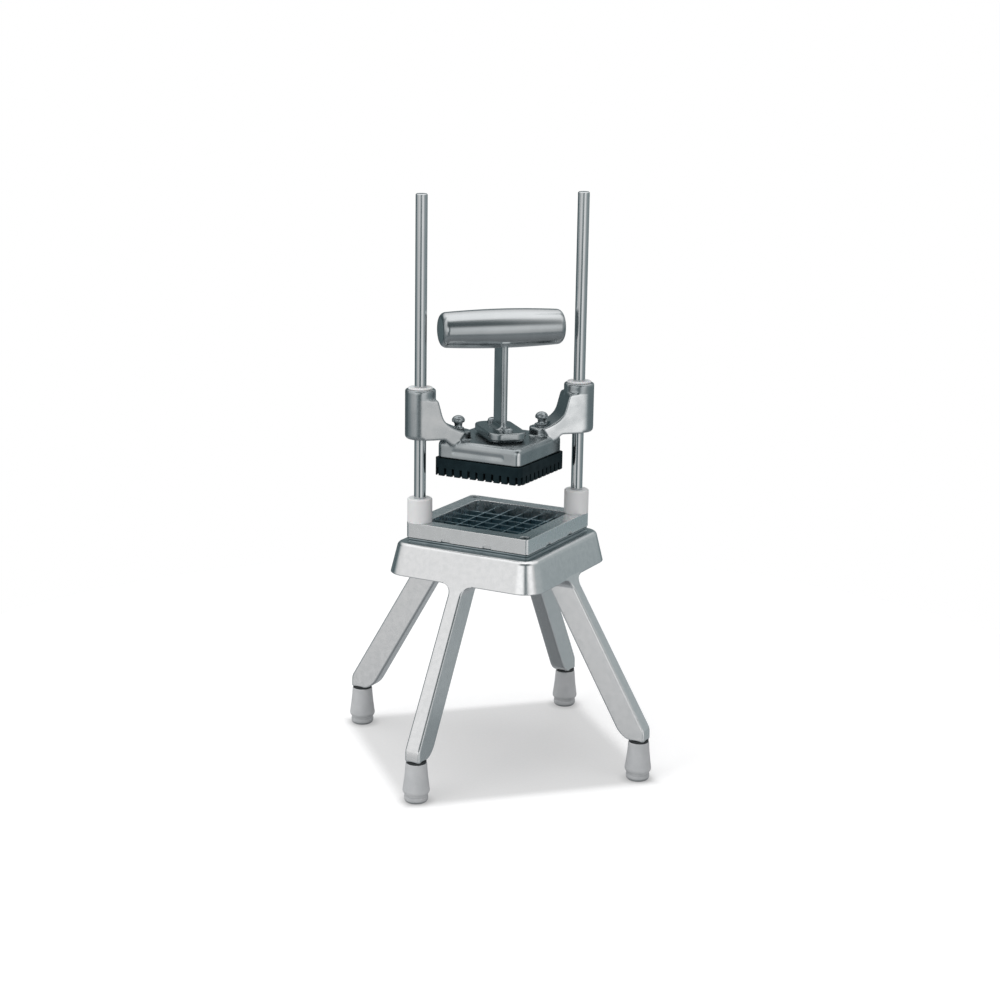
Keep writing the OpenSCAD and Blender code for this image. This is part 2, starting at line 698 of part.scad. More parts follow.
// Grip and stem are one casting with the flange. The stem widens in a round fillet at
// both ends.
module t_handle() {
    half = grip_len / 2;
    end_r = grip_end_d / 2;
    f = stem_fillet;
    stem_low = flange_top;
    stem_high = grip_z - sqrt(pow(grip_d / 2, 2) - pow(stem_depth / 2, 2));
    function stem_ring(grow, z) = ring(round_rect(stem_w + 2 * grow, stem_depth + grow / 2,
        2 + grow / 2, 3), z);
    color([0.74, 0.75, 0.77]) difference() {
        union() {
            translate([0, 0, flange_z]) linear_extrude(flange_t) handle_outline(0);
            skin(concat(
                [stem_ring(f, stem_low - JOIN)],
                [for (a = [0:22.5:90]) stem_ring(f * (1 - sin(a)), stem_low + f * (1 - cos(a)))],
                [for (a = [90:-22.5:0]) stem_ring(f * (1 - sin(a)), stem_high - f * (1 - cos(a)))],
                [stem_ring(f, grip_z)]));
            translate([0, 0, grip_z]) rotate([0, 90, 0]) rotate_extrude() polygon(concat(
                [[0, -half]],
                [for (a = [0:22.5:90]) [end_r - grip_round + grip_round * sin(a),
                    -half + grip_round * (1 - cos(a))]],
                [[grip_d / 2, 0]],
                [for (a = [90:-22.5:0]) [end_r - grip_round + grip_round * sin(a),
                    half - grip_round * (1 - cos(a))]],
                [[0, half]]));
        }
        at_handle_screws() translate([0, 0, flange_z - CUT])
            cylinder(r = handle_screw_d / 2 + SEAT, h = flange_t + 2 * CUT);
        at_handle_screws() translate([0, 0, flange_top])
            cylinder(r = handle_head_d / 2 + handle_head_gap, h = stem_fillet + handle_head_h);
    }
}

module handle_washers() {
    color("darkgray") at_handle_screws()
        tube(handle_head_d / 2 + handle_head_gap - JOIN, handle_screw_d / 2 + SEAT, flange_top,
             handle_washer_t);
}

module handle_screws() {
    z = flange_top + handle_washer_t;
    r = handle_head_d / 2;
    rim = 0.8;
    color("silver") at_handle_screws() difference() {
        rotate_extrude() polygon(concat(
            [[0, handle_tip], [handle_screw_d / 2, handle_tip], [handle_screw_d / 2, z], [r, z]],
            [for (a = [0:22.5:67.5]) [r * cos(a), z + rim + (handle_head_h - rim) * sin(a)]],
            [[0, z + handle_head_h]]));
        translate([0, 0, z + handle_head_h / 2]) cylinder(r = r / 2, h = handle_head_h, $fn = 6);
    }
}

module thumb_washers() {
    color("darkgray") at_thumbs()
        tube(knob_d / 2 - thumb_gap, thumb_shank_d / 2 + thumb_gap, boss_top, thumb_washer_t);
}

// Mushroom knob on a waisted neck, turned in one piece with its shank
module thumb_screw(side) {
    z = boss_top + thumb_washer_t + SEAT;
    r = knob_d / 2;
    shank = thumb_shank_d / 2;
    tip = body_z - insert_h + JOIN;
    base_r = r - 0.9;
    base_h = 1.2;
    waist_r = 0.58 * r;
    waist_z = z + 3.4;
    dome_h = 4.2;
    rim = z + knob_h - dome_h;
    color("silver") translate([side * thumb_x, 0, 0]) rotate_extrude() polygon(concat(
        [[0, tip], [shank - JOIN, tip], [shank, tip + JOIN], [shank, z], [base_r, z],
         [base_r, z + base_h], [waist_r, z + base_h + 1]],
        [for (a = [0:30:90]) [waist_r + (r - waist_r - 0.2) * (1 - cos(a)),
            waist_z + (rim - waist_z - 1) * sin(a)]],
        [for (a = [0:18:90]) [r * cos(a), rim + dome_h * sin(a)]]));
}
module left_thumb_screw() { thumb_screw(-1); }
module right_thumb_screw() { thumb_screw(1); }

base_casting();
foot_front_left();
foot_front_right();
foot_back_left();
foot_back_right();
foot_washers();
foot_studs();
blade_plate();
upper_blades();
lower_blades();
plate_screws();
left_guide_rod();
right_guide_rod();
rod_washers();
rod_nuts();
left_bumper();
right_bumper();
pusher_head();
left_bushing();
right_bushing();
pusher_block();
block_inserts();
t_handle();
handle_washers();
handle_screws();
thumb_washers();
left_thumb_screw();
right_thumb_screw();
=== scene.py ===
# %% [markdown]
# # An upright french fry cutter, dressed for its picture
# The cutter is mostly cast aluminium: a skirted table on four splayed legs, and a sliding head
# with a T handle. Two drawn steel rods guide the head, white bumpers stop it, and a black
# block pushes the potato through a grid of blades.
#
# The frame brings every piece at its real size and place. Pieces that were turned, drilled or
# cut flat keep the frame's own mesh. Castings, mouldings and the handle get new surfaces here,
# because their soft edges are what catches the light.

# %% The frame and its box
import math
import bmesh
import bpy
import numpy as np
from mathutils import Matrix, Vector


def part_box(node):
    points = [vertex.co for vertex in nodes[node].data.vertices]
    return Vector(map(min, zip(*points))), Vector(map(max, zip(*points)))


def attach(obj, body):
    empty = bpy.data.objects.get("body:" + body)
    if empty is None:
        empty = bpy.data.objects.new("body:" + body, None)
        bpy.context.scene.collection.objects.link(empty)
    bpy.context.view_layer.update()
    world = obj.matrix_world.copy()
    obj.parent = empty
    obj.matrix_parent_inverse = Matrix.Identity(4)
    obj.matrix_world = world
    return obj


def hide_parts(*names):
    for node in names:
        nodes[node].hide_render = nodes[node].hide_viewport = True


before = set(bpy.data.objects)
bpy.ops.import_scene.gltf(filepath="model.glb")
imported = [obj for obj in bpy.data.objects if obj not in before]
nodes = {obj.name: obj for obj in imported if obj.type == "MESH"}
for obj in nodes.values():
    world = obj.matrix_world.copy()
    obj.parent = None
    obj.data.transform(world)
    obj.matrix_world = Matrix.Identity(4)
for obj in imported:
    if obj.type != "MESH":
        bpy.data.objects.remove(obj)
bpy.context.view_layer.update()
mm = 0.001

# %% [markdown]
# ## The camera
# The picture was taken from a little left of the front and a little above the plate. The
# camera looks at a point on the cutter's middle line and is rolled by less than a degree, as
# the photographer's was.

# %% The camera
azimuth = math.radians(-17.104)
elevation = math.radians(13.780)
roll = math.radians(0.899)
distance = 1.647829
target = np.array([0.842, 0.0, 216.217]) * mm

back = np.array([math.sin(azimuth) * math.cos(elevation), -math.cos(azimuth) * math.cos(elevation),
                 math.sin(elevation)])
right = np.array([math.cos(azimuth), math.sin(azimuth), 0.0])
up = np.cross(back, right)
camera_x = math.cos(roll) * right + math.sin(roll) * up
camera_y = math.cos(roll) * up - math.sin(roll) * right

camera_data = bpy.data.cameras.new("camera")
camera_data.sensor_width = 36.0
camera_data.lens = 72.573
camera = bpy.data.objects.new("camera", camera_data)
pose = np.eye(4)
pose[:3, 0], pose[:3, 1], pose[:3, 2] = camera_x, camera_y, back
pose[:3, 3] = target + distance * back
camera.matrix_world = pose.T.tolist()
bpy.context.scene.collection.objects.link(camera)
bpy.context.scene.camera = camera
print("camera at", np.round(pose[:3, 3], 3))

# %% [markdown]
# ## The studio
# Polished metal has hardly any colour of its own: what we see is the room. The picture's
# bright and dark bands say where its lamps and dark corners were. A round rod shows the whole
# horizon from one edge to the other, so its bands were read off as a ring of brightness round
# the object, and the level grip gave the same from floor to ceiling. The world repeats that
# room for reflections, stays plain white where the camera sees it, and gives an even light
# to everything matt.

# %% Helpers for shader trees
def grey(level, red=1.0, blue=1.0):
    """A grey of the level, with its red and blue scaled by these shares."""
    return (level * red, level, level * blue, 1.0)


def add(tree, kind, **values):
    """A node of the kind, with values for its properties or, by socket name, its inputs."""
    made = tree.nodes.new(kind)
    for key, value in values.items():
        if hasattr(made, key):
            setattr(made, key, value)
        else:
            made.inputs[key.replace("_", " ")].default_value = value
    return made


def math_node(tree, operation, first, second=0.5, third=None, clamp=False):
    """One step of arithmetic; each term is a socket or a number."""
    made = tree.nodes.new("ShaderNodeMath")
    made.operation = operation
    made.use_clamp = clamp
    for place, term in enumerate((first, second, third)):
        if term is None:
            continue
        if isinstance(term, (int, float)):
            made.inputs[place].default_value = term
        else:
            tree.links.new(term, made.inputs[place])
    return made.outputs[0]


def smooth_step(tree, value, low, high, to_low=0.0, to_high=1.0):
    """A soft switch: to_low below low, to_high above high, and a smooth slope between them."""
    made = add(tree, "ShaderNodeMapRange", interpolation_type="SMOOTHSTEP", From_Min=low,
               From_Max=high, To_Min=to_low, To_Max=to_high)
    tree.links.new(value, made.inputs["Value"])
    return made.outputs["Result"]


def mix_colour(tree, factor, first, second, blend="MIX"):
    """A mix of two colours; each term is a socket or a value."""
    made = tree.nodes.new("ShaderNodeMix")
    made.data_type = "RGBA"
    made.blend_type = blend
    for place, term in ((0, factor), (6, first), (7, second)):
        if isinstance(term, bpy.types.NodeSocket):
            tree.links.new(term, made.inputs[place])
        else:
            made.inputs[place].default_value = term
    return made.outputs[2]


def ramp(tree, factor, stops, interpolation="EASE"):
    """A colour ramp with the stops (place, grey) or (place, colour)."""
    made = tree.nodes.new("ShaderNodeValToRGB")
    made.color_ramp.interpolation = interpolation
    elements = made.color_ramp.elements
    while len(elements) < len(stops):
        elements.new(0.5)
    for element, (place, tone) in zip(elements, stops):
        element.position = place
        element.color = (*tone, 1.0) if isinstance(tone, tuple) else (tone, tone, tone, 1.0)
    tree.links.new(factor, made.inputs["Fac"])
    return made.outputs["Color"]


# %% The room that metal reflects
# Each ring gives brightness by compass angle in degrees: 0 is the operator's side, 90 the
# right, -90 the left, 180 behind. Angles of each ring run from -180 to 180.
floor_ring = [(-180, 0.04), (-172, 0.10), (-162, 0.24), (-150, 0.16), (-135, 0.14), (-104, 0.34),
              (-78, 0.63), (-50, 0.72), (-28, 0.14), (-18, 0.10), (2, 1.00), (20, 0.86), (42, 0.44),
              (80, 0.30), (106, 0.30), (145, 0.18), (180, 0.04)]
level_ring = [(-180, 0.14), (-135, 0.12), (-104, 0.80), (-73, 0.86), (-52, 1.15), (-26, 1.20),
              (-18, 0.40), (-12, 0.04), (-6, 0.30), (4, 0.95), (14, 1.15), (26, 1.10), (38, 0.66),
              (50, 0.46), (106, 0.45), (128, 0.40), (158, 0.18), (180, 0.14)]
brightest = 1.25

# The rise of a direction runs from -1, straight down, over 0, the horizon, to 1, straight up.
# Each border below is a pair of rises between which one part of the room fades into the next.
under_foot = grey(0.16, 0.9, 1.06)
near_floor = grey(0.28, 0.9, 1.06)
ceiling = grey(0.92)
zenith = grey(1.25)
foot_border = (-0.95, -0.60)
near_border = (-0.46, -0.28)
floor_border = (-0.16, 0.02)
ceiling_border = (0.36, 0.68)
zenith_border = (0.70, 0.95)

# Between the horizon and the ceiling, the camera's end of the room is dark: the grip shows it
# as a band. It fades out sideways, between two angles from its middle, and above and below.
front_wall = grey(0.12, 0.8, 1.06)
front_middle = math.radians(-12)
front_sides = (math.radians(28), math.radians(60))
front_foot = (0.22, 0.50)
front_head = (0.84, 0.94)
even_light = grey(0.52, 1.0, 1.01)


def ring_colour(tree, turn, ring):
    """The ring's brightness by angle; its dark parts lean to blue-green as the picture's do."""
    shade = ramp(tree, turn, [((angle + 180) / 360, level / brightest) for angle, level in ring])
    bare = add(tree, "ShaderNodeRGBToBW")
    tree.links.new(shade, bare.inputs["Color"])
    tint = ramp(tree, bare.outputs["Val"], [(0.0, (0.6, 0.92, 1.0)), (0.5, (1.0, 1.0, 1.0))], "LINEAR")
    tinted = mix_colour(tree, 1.0, shade, tint, "MULTIPLY")
    return mix_colour(tree, 1.0, tinted, grey(brightest), "MULTIPLY")


world = bpy.data.worlds.new("studio")
bpy.context.scene.world = world
world.use_nodes = True
sky = world.node_tree
sky.nodes.clear()
looking = add(sky, "ShaderNodeSeparateXYZ")
sky.links.new(add(sky, "ShaderNodeTexCoord").outputs["Generated"], looking.inputs["Vector"])
rise = looking.outputs["Z"]
to_front = math_node(sky, "MULTIPLY", looking.outputs["Y"], -1.0)
angle = math_node(sky, "ARCTAN2", looking.outputs["X"], to_front)
turn = math_node(sky, "MULTIPLY_ADD", angle, 1 / (2 * math.pi), 0.5)
near = mix_colour(sky, smooth_step(sky, rise, *foot_border), under_foot, near_floor)
steep = mix_colour(sky, smooth_step(sky, rise, *near_border), near, ring_colour(sky, turn, floor_ring))
lower_part = mix_colour(sky, smooth_step(sky, rise, *floor_border), steep,
                        ring_colour(sky, turn, level_ring))
roof = mix_colour(sky, smooth_step(sky, rise, *zenith_border), ceiling, zenith)
overhead = mix_colour(sky, smooth_step(sky, rise, *ceiling_border), lower_part, roof)
off_front = math_node(sky, "ABSOLUTE", math_node(sky, "SUBTRACT", angle, front_middle))
in_front = smooth_step(sky, off_front, *front_sides, 1.0, 0.0)
above_foot = smooth_step(sky, rise, *front_foot)
below_head = smooth_step(sky, rise, *front_head, 1.0, 0.0)
wall = math_node(sky, "MULTIPLY", in_front, math_node(sky, "MULTIPLY", above_foot, below_head))
room = mix_colour(sky, wall, overhead, front_wall)

path = add(sky, "ShaderNodeLightPath")
seen = mix_colour(sky, path.outputs["Is Glossy Ray"], even_light, room)
white_ray = math_node(sky, "ADD", path.outputs["Is Camera Ray"], path.outputs["Is Transmission Ray"],
                      clamp=True)
shown = mix_colour(sky, white_ray, seen, grey(1.0))
backdrop = add(sky, "ShaderNodeBackground", Strength=1.0)
sky.links.new(shown, backdrop.inputs["Color"])
sky.links.new(backdrop.outputs["Background"], add(sky, "ShaderNodeOutputWorld").inputs["Surface"])


# %% Two soft boxes
def soft_box(name, place, aim, width, depth, watts):
    """An area lamp at a place, turned to aim at a point."""
    lamp = bpy.data.lights.new(name, "AREA")
    lamp.shape = "RECTANGLE"
    lamp.size = width
    lamp.size_y = depth
    lamp.energy = watts
    made = bpy.data.objects.new(name, lamp)
    facing = np.array(aim) - np.array(place)
    made.rotation_mode = "QUATERNION"
    made.rotation_quaternion = Vector(facing).to_track_quat("-Z", "Y")
    made.location = place
    made.visible_glossy = False
    bpy.context.scene.collection.objects.link(made)
    print(name, "hangs", round(float(np.linalg.norm(facing)), 2), "m away")


middle = (0.0, 0.0, 0.22)
soft_box("overhead soft box", (-0.35, -0.1, 1.9), middle, 1.3, 1.3, 13.0)
soft_box("left soft box", (-1.7, -0.9, 0.9), middle, 0.9, 1.2, 7.0)

# %% [markdown]
# ## The floor
# The floor is white paper that fades into the background. It is a disc of matt white with a pale grey square
# of painted shadow between the feet, where the table would shade it, and a deeper ring of painted contact
# shadow round each foot. It gains a little light of its own for the camera, so that what isn't shaded reads
# as pure white and the shadow stays grey.
# Reflections mix it with the room's own floor, whose brightness was measured on the rods. From
# below the paper can be looked through.

# %% The floor
def surface(name, points, close_rows=False, caps=(False, False)):
    """A mesh from a grid of points [row, column]. Columns run round and close on themselves.

    Rows may close too, as on a ring, or end in flat caps. Points that coincide, such as a
    pole's, are merged. With columns counter-clockwise and rows rising outside, faces point out.
    """
    rows, columns = points.shape[:2]
    index = np.arange(rows * columns).reshape(rows, columns)
    lower = index if close_rows else index[:-1]
    upper = np.roll(index, -1, axis=0) if close_rows else index[1:]
    quads = np.stack([lower, np.roll(lower, -1, axis=1), np.roll(upper, -1, axis=1), upper], axis=-1)
    faces = quads.reshape(-1, 4).tolist()
    if caps[0]:
        faces.append(index[0, ::-1].tolist())
    if caps[1]:
        faces.append(index[-1].tolist())
    mesh = bpy.data.meshes.new(name)
    mesh.from_pydata(points.reshape(-1, 3).tolist(), [], faces)
    work = bmesh.new()
    work.from_mesh(mesh)
    bmesh.ops.remove_doubles(work, verts=work.verts, dist=1e-7)
    work.to_mesh(mesh)
    work.free()
    mesh.polygons.foreach_set("use_smooth", np.ones(len(mesh.polygons), bool))
    made = bpy.data.objects.new(name, mesh)
    bpy.context.scene.collection.objects.link(made)
    return made


floor_rings = 0.62 * np.linspace(1.0, 0.0, 5)
floor_turn = np.linspace(0.0, 2 * math.pi, 96, endpoint=False)
floor_points = np.stack([floor_rings[:, None] * np.cos(floor_turn), floor_rings[:, None] * np.sin(floor_turn),
                         np.zeros((len(floor_rings), len(floor_turn)))], axis=-1)
floor = surface("floor", floor_points)
floor_paper = bpy.data.materials.new("white paper floor")
floor_paper.use_nodes = True
paper = floor_paper.node_tree
paper.nodes.clear()
paper_spot = add(paper, "ShaderNodeTexCoord").outputs["Object"]
paper_fibre = add(paper, "ShaderNodeTexNoise", Scale=420.0, Detail=2.0)
paper.links.new(paper_spot, paper_fibre.inputs["Vector"])
paper_colour = ramp(paper, paper_fibre.outputs["Fac"], [(0.3, 0.80), (0.7, 0.86)], "LINEAR")

# A painted shadow of the table: a square with soft sides, whose grey is mixed into the paper's colour.
shade_side, shade_blur, shade_depth = 104 * mm, 9 * mm, 0.71
paper_part = add(paper, "ShaderNodeSeparateXYZ")
paper.links.new(paper_spot, paper_part.inputs["Vector"])
from_middle = [math_node(paper, "ABSOLUTE", paper_part.outputs[axis]) for axis in ("X", "Y")]
square = math_node(paper, "MAXIMUM", *from_middle)
painted_table_shadow = smooth_step(paper, square, shade_side - shade_blur, shade_side + shade_blur, 1.0, 0.0)

# Each foot adds a ring of painted contact shadow round it: all four stand at the same distance from both
# middle lines.
contact_in, contact_out, contact_depth = 2 * mm, 7 * mm, 0.30
front_low, front_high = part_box("foot_front_right")
foot_place = (front_low.x + front_high.x) / 2
foot_radius = (front_high.x - front_low.x) / 2
off_foot = [math_node(paper, "POWER", math_node(paper, "SUBTRACT", far, foot_place), 2.0)
            for far in from_middle]
from_foot = math_node(paper, "SQRT", math_node(paper, "ADD", *off_foot))
painted_foot_shadow = smooth_step(paper, from_foot, foot_radius - contact_in, foot_radius + contact_out,
                      contact_depth, 0.0)
# The table's painted shadow and the feet's painted contact shadows, added up, set how far the paper turns
# grey.
painted_shadow_depth = math_node(paper, "MULTIPLY_ADD", painted_table_shadow, shade_depth, painted_foot_shadow, clamp=True)
paper_with_painted_shadow = mix_colour(paper, painted_shadow_depth, paper_colour, grey(0.3))
paper_matt = add(paper, "ShaderNodeBsdfDiffuse")
paper.links.new(paper_with_painted_shadow, paper_matt.inputs["Color"])

# The paper's own light is for the camera only, and mirrors look through most of the paper.
paper_lift = 0.37
mirror_share = 0.75
paper_path = add(paper, "ShaderNodeLightPath")
paper_glow = add(paper, "ShaderNodeEmission", Color=grey(1.0))
paper.links.new(math_node(paper, "MULTIPLY", paper_path.outputs["Is Camera Ray"], paper_lift),
                paper_glow.inputs["Strength"])
paper_sum = add(paper, "ShaderNodeAddShader")
paper.links.new(paper_matt.outputs[0], paper_sum.inputs[0])
paper.links.new(paper_glow.outputs[0], paper_sum.inputs[1])
past = add(paper, "ShaderNodeMixShader")
see_past = math_node(paper, "MULTIPLY", paper_path.outputs["Is Glossy Ray"], mirror_share)
from_below = add(paper, "ShaderNodeNewGeometry").outputs["Backfacing"]
paper.links.new(math_node(paper, "MAXIMUM", see_past, from_below), past.inputs["Fac"])
paper.links.new(paper_sum.outputs[0], past.inputs[1])
paper.links.new(add(paper, "ShaderNodeBsdfTransparent").outputs[0], past.inputs[2])
paper.links.new(past.outputs[0], add(paper, "ShaderNodeOutputMaterial").inputs["Surface"])
floor.data.materials.append(floor_paper)

# %% [markdown]
# ## Finishes
# Metal from one foundry and one machine shop shares its habits: soft clouds of tone, a fine
# grain from sand or abrasive, and edges that handling has rubbed bright, whose brightness is partly a painted
# highlight.
# Inside corners get painted shade. Each habit is one node group, built once. A material places the groups it
# needs and gives them its own values.

# %% Groups that several finishes share
def new_group(name, inputs, outputs):
    """A shader node group with named sockets, each given as (name, kind, value)."""
    tree = bpy.data.node_groups.new(name, "ShaderNodeTree")
    for label, kind, value in inputs:
        socket = tree.interface.new_socket(label, in_out="INPUT", socket_type="NodeSocket" + kind)
        if value is not None:
            socket.default_value = value
    for label, kind in outputs:
        tree.interface.new_socket(label, in_out="OUTPUT", socket_type="NodeSocket" + kind)
    return tree, tree.nodes.new("NodeGroupInput").outputs, tree.nodes.new("NodeGroupOutput").inputs


# Tone drifts over the surface in soft clouds with finer mottles in them.
clouds, given, result = new_group(
    "Cloudy tone", [("Colour", "Color", (0.5, 0.5, 0.5, 1)), ("Dark", "Color", (0.3, 0.3, 0.3, 1)),
                    ("Size", "Float", 40.0), ("Amount", "Float", 0.5), ("Smooth", "Float", 0.3),
                    ("Rough", "Float", 0.5)],
    [("Colour", "Color"), ("Roughness", "Float"), ("Mask", "Float")])
spot = add(clouds, "ShaderNodeTexCoord").outputs["Object"]
drift = add(clouds, "ShaderNodeTexNoise", Detail=4.0, Roughness=0.5, Distortion=0.2)
clouds.links.new(spot, drift.inputs["Vector"])
clouds.links.new(given["Size"], drift.inputs["Scale"])
cloud = smooth_step(clouds, drift.outputs["Fac"], 0.28, 0.74)
shade = math_node(clouds, "MULTIPLY", cloud, given["Amount"], clamp=True)
clouds.links.new(mix_colour(clouds, shade, given["Colour"], given["Dark"]), result["Colour"])
span = math_node(clouds, "SUBTRACT", given["Rough"], given["Smooth"])
clouds.links.new(math_node(clouds, "MULTIPLY_ADD", span, cloud, given["Smooth"]), result["Roughness"])
clouds.links.new(cloud, result["Mask"])

# Grain with rounded edges: the edge rounding comes from averaging the normals near an edge,
# and the grain is a height on top of it. Stretch gives the grain a direction. The edge mask marks
# edges for wear and for a painted highlight. Crevice marks inside corners by ambient occlusion, for painted
# shade there.
grain, given, result = new_group(
    "Grain and soft edges", [("Size", "Float", 900.0), ("Depth", "Float", 0.2),
                             ("Stretch", "Vector", (1.0, 1.0, 1.0)), ("Turn", "Vector", (0.0, 0.0, 0.0)),
                             ("Pits", "Float", 0.0), ("Edge", "Float", 0.0006)],
    [("Normal", "Vector"), ("Edge mask", "Float"), ("Crevice", "Float")])
spot = add(grain, "ShaderNodeTexCoord").outputs["Object"]
lay = add(grain, "ShaderNodeMapping")
grain.links.new(spot, lay.inputs["Vector"])
grain.links.new(given["Turn"], lay.inputs["Rotation"])
pull = add(grain, "ShaderNodeVectorMath", operation="MULTIPLY")
grain.links.new(lay.outputs["Vector"], pull.inputs[0])
grain.links.new(given["Stretch"], pull.inputs[1])
fine = add(grain, "ShaderNodeTexNoise", Detail=3.0, Roughness=0.6)
grain.links.new(pull.outputs["Vector"], fine.inputs["Vector"])
grain.links.new(given["Size"], fine.inputs["Scale"])
hollow = add(grain, "ShaderNodeTexVoronoi", feature="SMOOTH_F1")
grain.links.new(spot, hollow.inputs["Vector"])
grain.links.new(math_node(grain, "MULTIPLY", given["Size"], 0.42), hollow.inputs["Scale"])
pit = math_node(grain, "MULTIPLY", smooth_step(grain, hollow.outputs["Distance"], 0.12, 0.42, 1.0, 0.0),
                given["Pits"])
height = math_node(grain, "SUBTRACT", fine.outputs["Fac"], pit)
rounding = add(grain, "ShaderNodeBevel", samples=6)
grain.links.new(given["Edge"], rounding.inputs["Radius"])
relief = add(grain, "ShaderNodeBump", Distance=0.0001)
grain.links.new(given["Depth"], relief.inputs["Strength"])
grain.links.new(height, relief.inputs["Height"])
grain.links.new(rounding.outputs["Normal"], relief.inputs["Normal"])
grain.links.new(relief.outputs["Normal"], result["Normal"])
flat = add(grain, "ShaderNodeNewGeometry")
agree = add(grain, "ShaderNodeVectorMath", operation="DOT_PRODUCT")
grain.links.new(rounding.outputs["Normal"], agree.inputs[0])
grain.links.new(flat.outputs["Normal"], agree.inputs[1])
# Edges: one mask for wear and for a painted highlight alike.
rubbed_and_highlit = smooth_step(grain, agree.outputs["Value"], 0.80, 0.995, 1.0, 0.0)
grain.links.new(rubbed_and_highlit, result["Edge mask"])
# Ambient occlusion finds inside corners, where the finish paints shade.
open_air = add(grain, "ShaderNodeAmbientOcclusion", samples=6, Distance=0.007)
grain.links.new(smooth_step(grain, open_air.outputs["AO"], 0.15, 0.85, 1.0, 0.0), result["Crevice"])


# %% One recipe for every finish
# Values that all finishes share: where a face counts as looking straight to the front or back,
# to the right, or upwards; how far the tone of ground flats drifts, as painted shade on the left and painted
# light on the right;
# what share of the dark colour the painted shade in crevices keeps; and how much smoother a rubbed edge is.
front_facing = (0.93, 0.99)
right_facing = (-0.3, 0.3)
up_facing = (0.28, 0.62)
flats_reach = 60 * mm
flats_painted_shade, flats_painted_light = 0.74, 1.26
crevice_shade_share = (0.22, 0.28, 0.30)
edge_polish = 0.3


def finish(name, colour, dark, metallic, smooth, rough, cloud_size=45.0, cloud_amount=0.5,
           grain_size=900.0, grain_depth=0.2, stretch=(1, 1, 1), turn_by=(0, 0, 0), pits=0.0,
           edge=0.0006, edge_colour=None, edge_amount=0.5, crevice_shade=0.6, ground_flats=None,
           ground_top=0.0, flanks_painted_shade=None, right_flank_painted_light=1.0, patchy=0.3, **shader_values):
    """A material of clouds, grain, rubbed edges and painted shade in crevices. Roughness runs from smooth to
    rough.
    Rubbed edges take the edge colour, partly as wear and partly as a painted highlight.

    Ground flats, where given, is the colour of faces that look straight to the front or back
    below the height ground top, painted darker on the left and paler on the right. Flanks is
    the colour of faces that don't look upwards, a painted shade that keeps the sides darker than
    the top, and right flank its share on those that look to the right, painted lighter or darker
    there. Both let the colour below show in patches.
    """
    def scaled(tint, share):
        return (*[share * channel for channel in tint], 1)

    made = bpy.data.materials.new(name)
    made.use_nodes = True
    tree = made.node_tree
    shader = tree.nodes["Principled BSDF"]
    shader.inputs["Metallic"].default_value = metallic
    for key, value in shader_values.items():
        shader.inputs[key.replace("_", " ")].default_value = value
    tone = add(tree, "ShaderNodeGroup", node_tree=clouds)
    for key, value in (("Colour", (*colour, 1)), ("Dark", (*dark, 1)), ("Size", cloud_size),
                       ("Amount", cloud_amount), ("Smooth", smooth), ("Rough", rough)):
        tone.inputs[key].default_value = value
    skin = add(tree, "ShaderNodeGroup", node_tree=grain)
    for key, value in (("Size", grain_size), ("Depth", grain_depth), ("Stretch", stretch),
                       ("Turn", turn_by), ("Pits", pits), ("Edge", edge)):
        skin.inputs[key].default_value = value
    # Edges take the edge colour: partly wear, partly a painted highlight.
    wear_and_highlight = math_node(tree, "MULTIPLY", skin.outputs["Edge mask"], edge_amount)
    wear_and_highlight_colour = (*(edge_colour or colour), 1)
    plain = tone.outputs["Colour"]
    if ground_flats or flanks_painted_shade:
        patches = math_node(tree, "MULTIPLY", tone.outputs["Mask"], patchy)
        facing = add(tree, "ShaderNodeSeparateXYZ")
        tree.links.new(add(tree, "ShaderNodeTexCoord").outputs["Normal"], facing.inputs["Vector"])
    # Ground flats are painted darker on the left and lighter on the right.
    if ground_flats:
        flat_on = smooth_step(tree, math_node(tree, "ABSOLUTE", facing.outputs["Y"]), *front_facing)
        where = add(tree, "ShaderNodeSeparateXYZ")
        tree.links.new(add(tree, "ShaderNodeTexCoord").outputs["Object"], where.inputs["Vector"])
        low_enough = smooth_step(tree, where.outputs["Z"], ground_top - 0.6 * mm,
                                 ground_top + 0.2 * mm, 1.0, 0.0)
        to_right = smooth_step(tree, where.outputs["X"], -flats_reach, flats_reach)
        ground = mix_colour(tree, to_right, scaled(ground_flats, flats_painted_shade),
                            scaled(ground_flats, flats_painted_light))
        ground = mix_colour(tree, patches, ground, plain)
        plain = mix_colour(tree, math_node(tree, "MULTIPLY", flat_on, low_enough), plain, ground)
    # Painted shade: faces that don't look upwards take the darker flank colour, and right flank paints the
    # right side lighter or darker.
    if flanks_painted_shade:
        flank = mix_colour(tree, smooth_step(tree, facing.outputs["X"], *right_facing),
                           scaled(flanks_painted_shade, 1.0), scaled(flanks_painted_shade, right_flank_painted_light))
        flank = mix_colour(tree, patches, flank, plain)
        plain = mix_colour(tree, smooth_step(tree, facing.outputs["Z"], *up_facing), flank, plain)
    bright = mix_colour(tree, wear_and_highlight, plain, wear_and_highlight_colour)
    # Painted shade: inside corners are darkened towards the dark colour.
    deep = math_node(tree, "MULTIPLY", skin.outputs["Crevice"], crevice_shade)
    painted_crevice_shade = (*[share * channel for share, channel in zip(crevice_shade_share, dark)], 1)
    tree.links.new(mix_colour(tree, deep, bright, painted_crevice_shade), shader.inputs["Base Color"])
    tree.links.new(math_node(tree, "MULTIPLY_ADD", wear_and_highlight, -edge_polish * smooth, tone.outputs["Roughness"]),
                   shader.inputs["Roughness"])
    tree.links.new(skin.outputs["Normal"], shader.inputs["Normal"])
    return made


def dress(piece, material):
    """Gives a piece one finish all over."""
    piece.data.materials.clear()
    piece.data.materials.append(material)


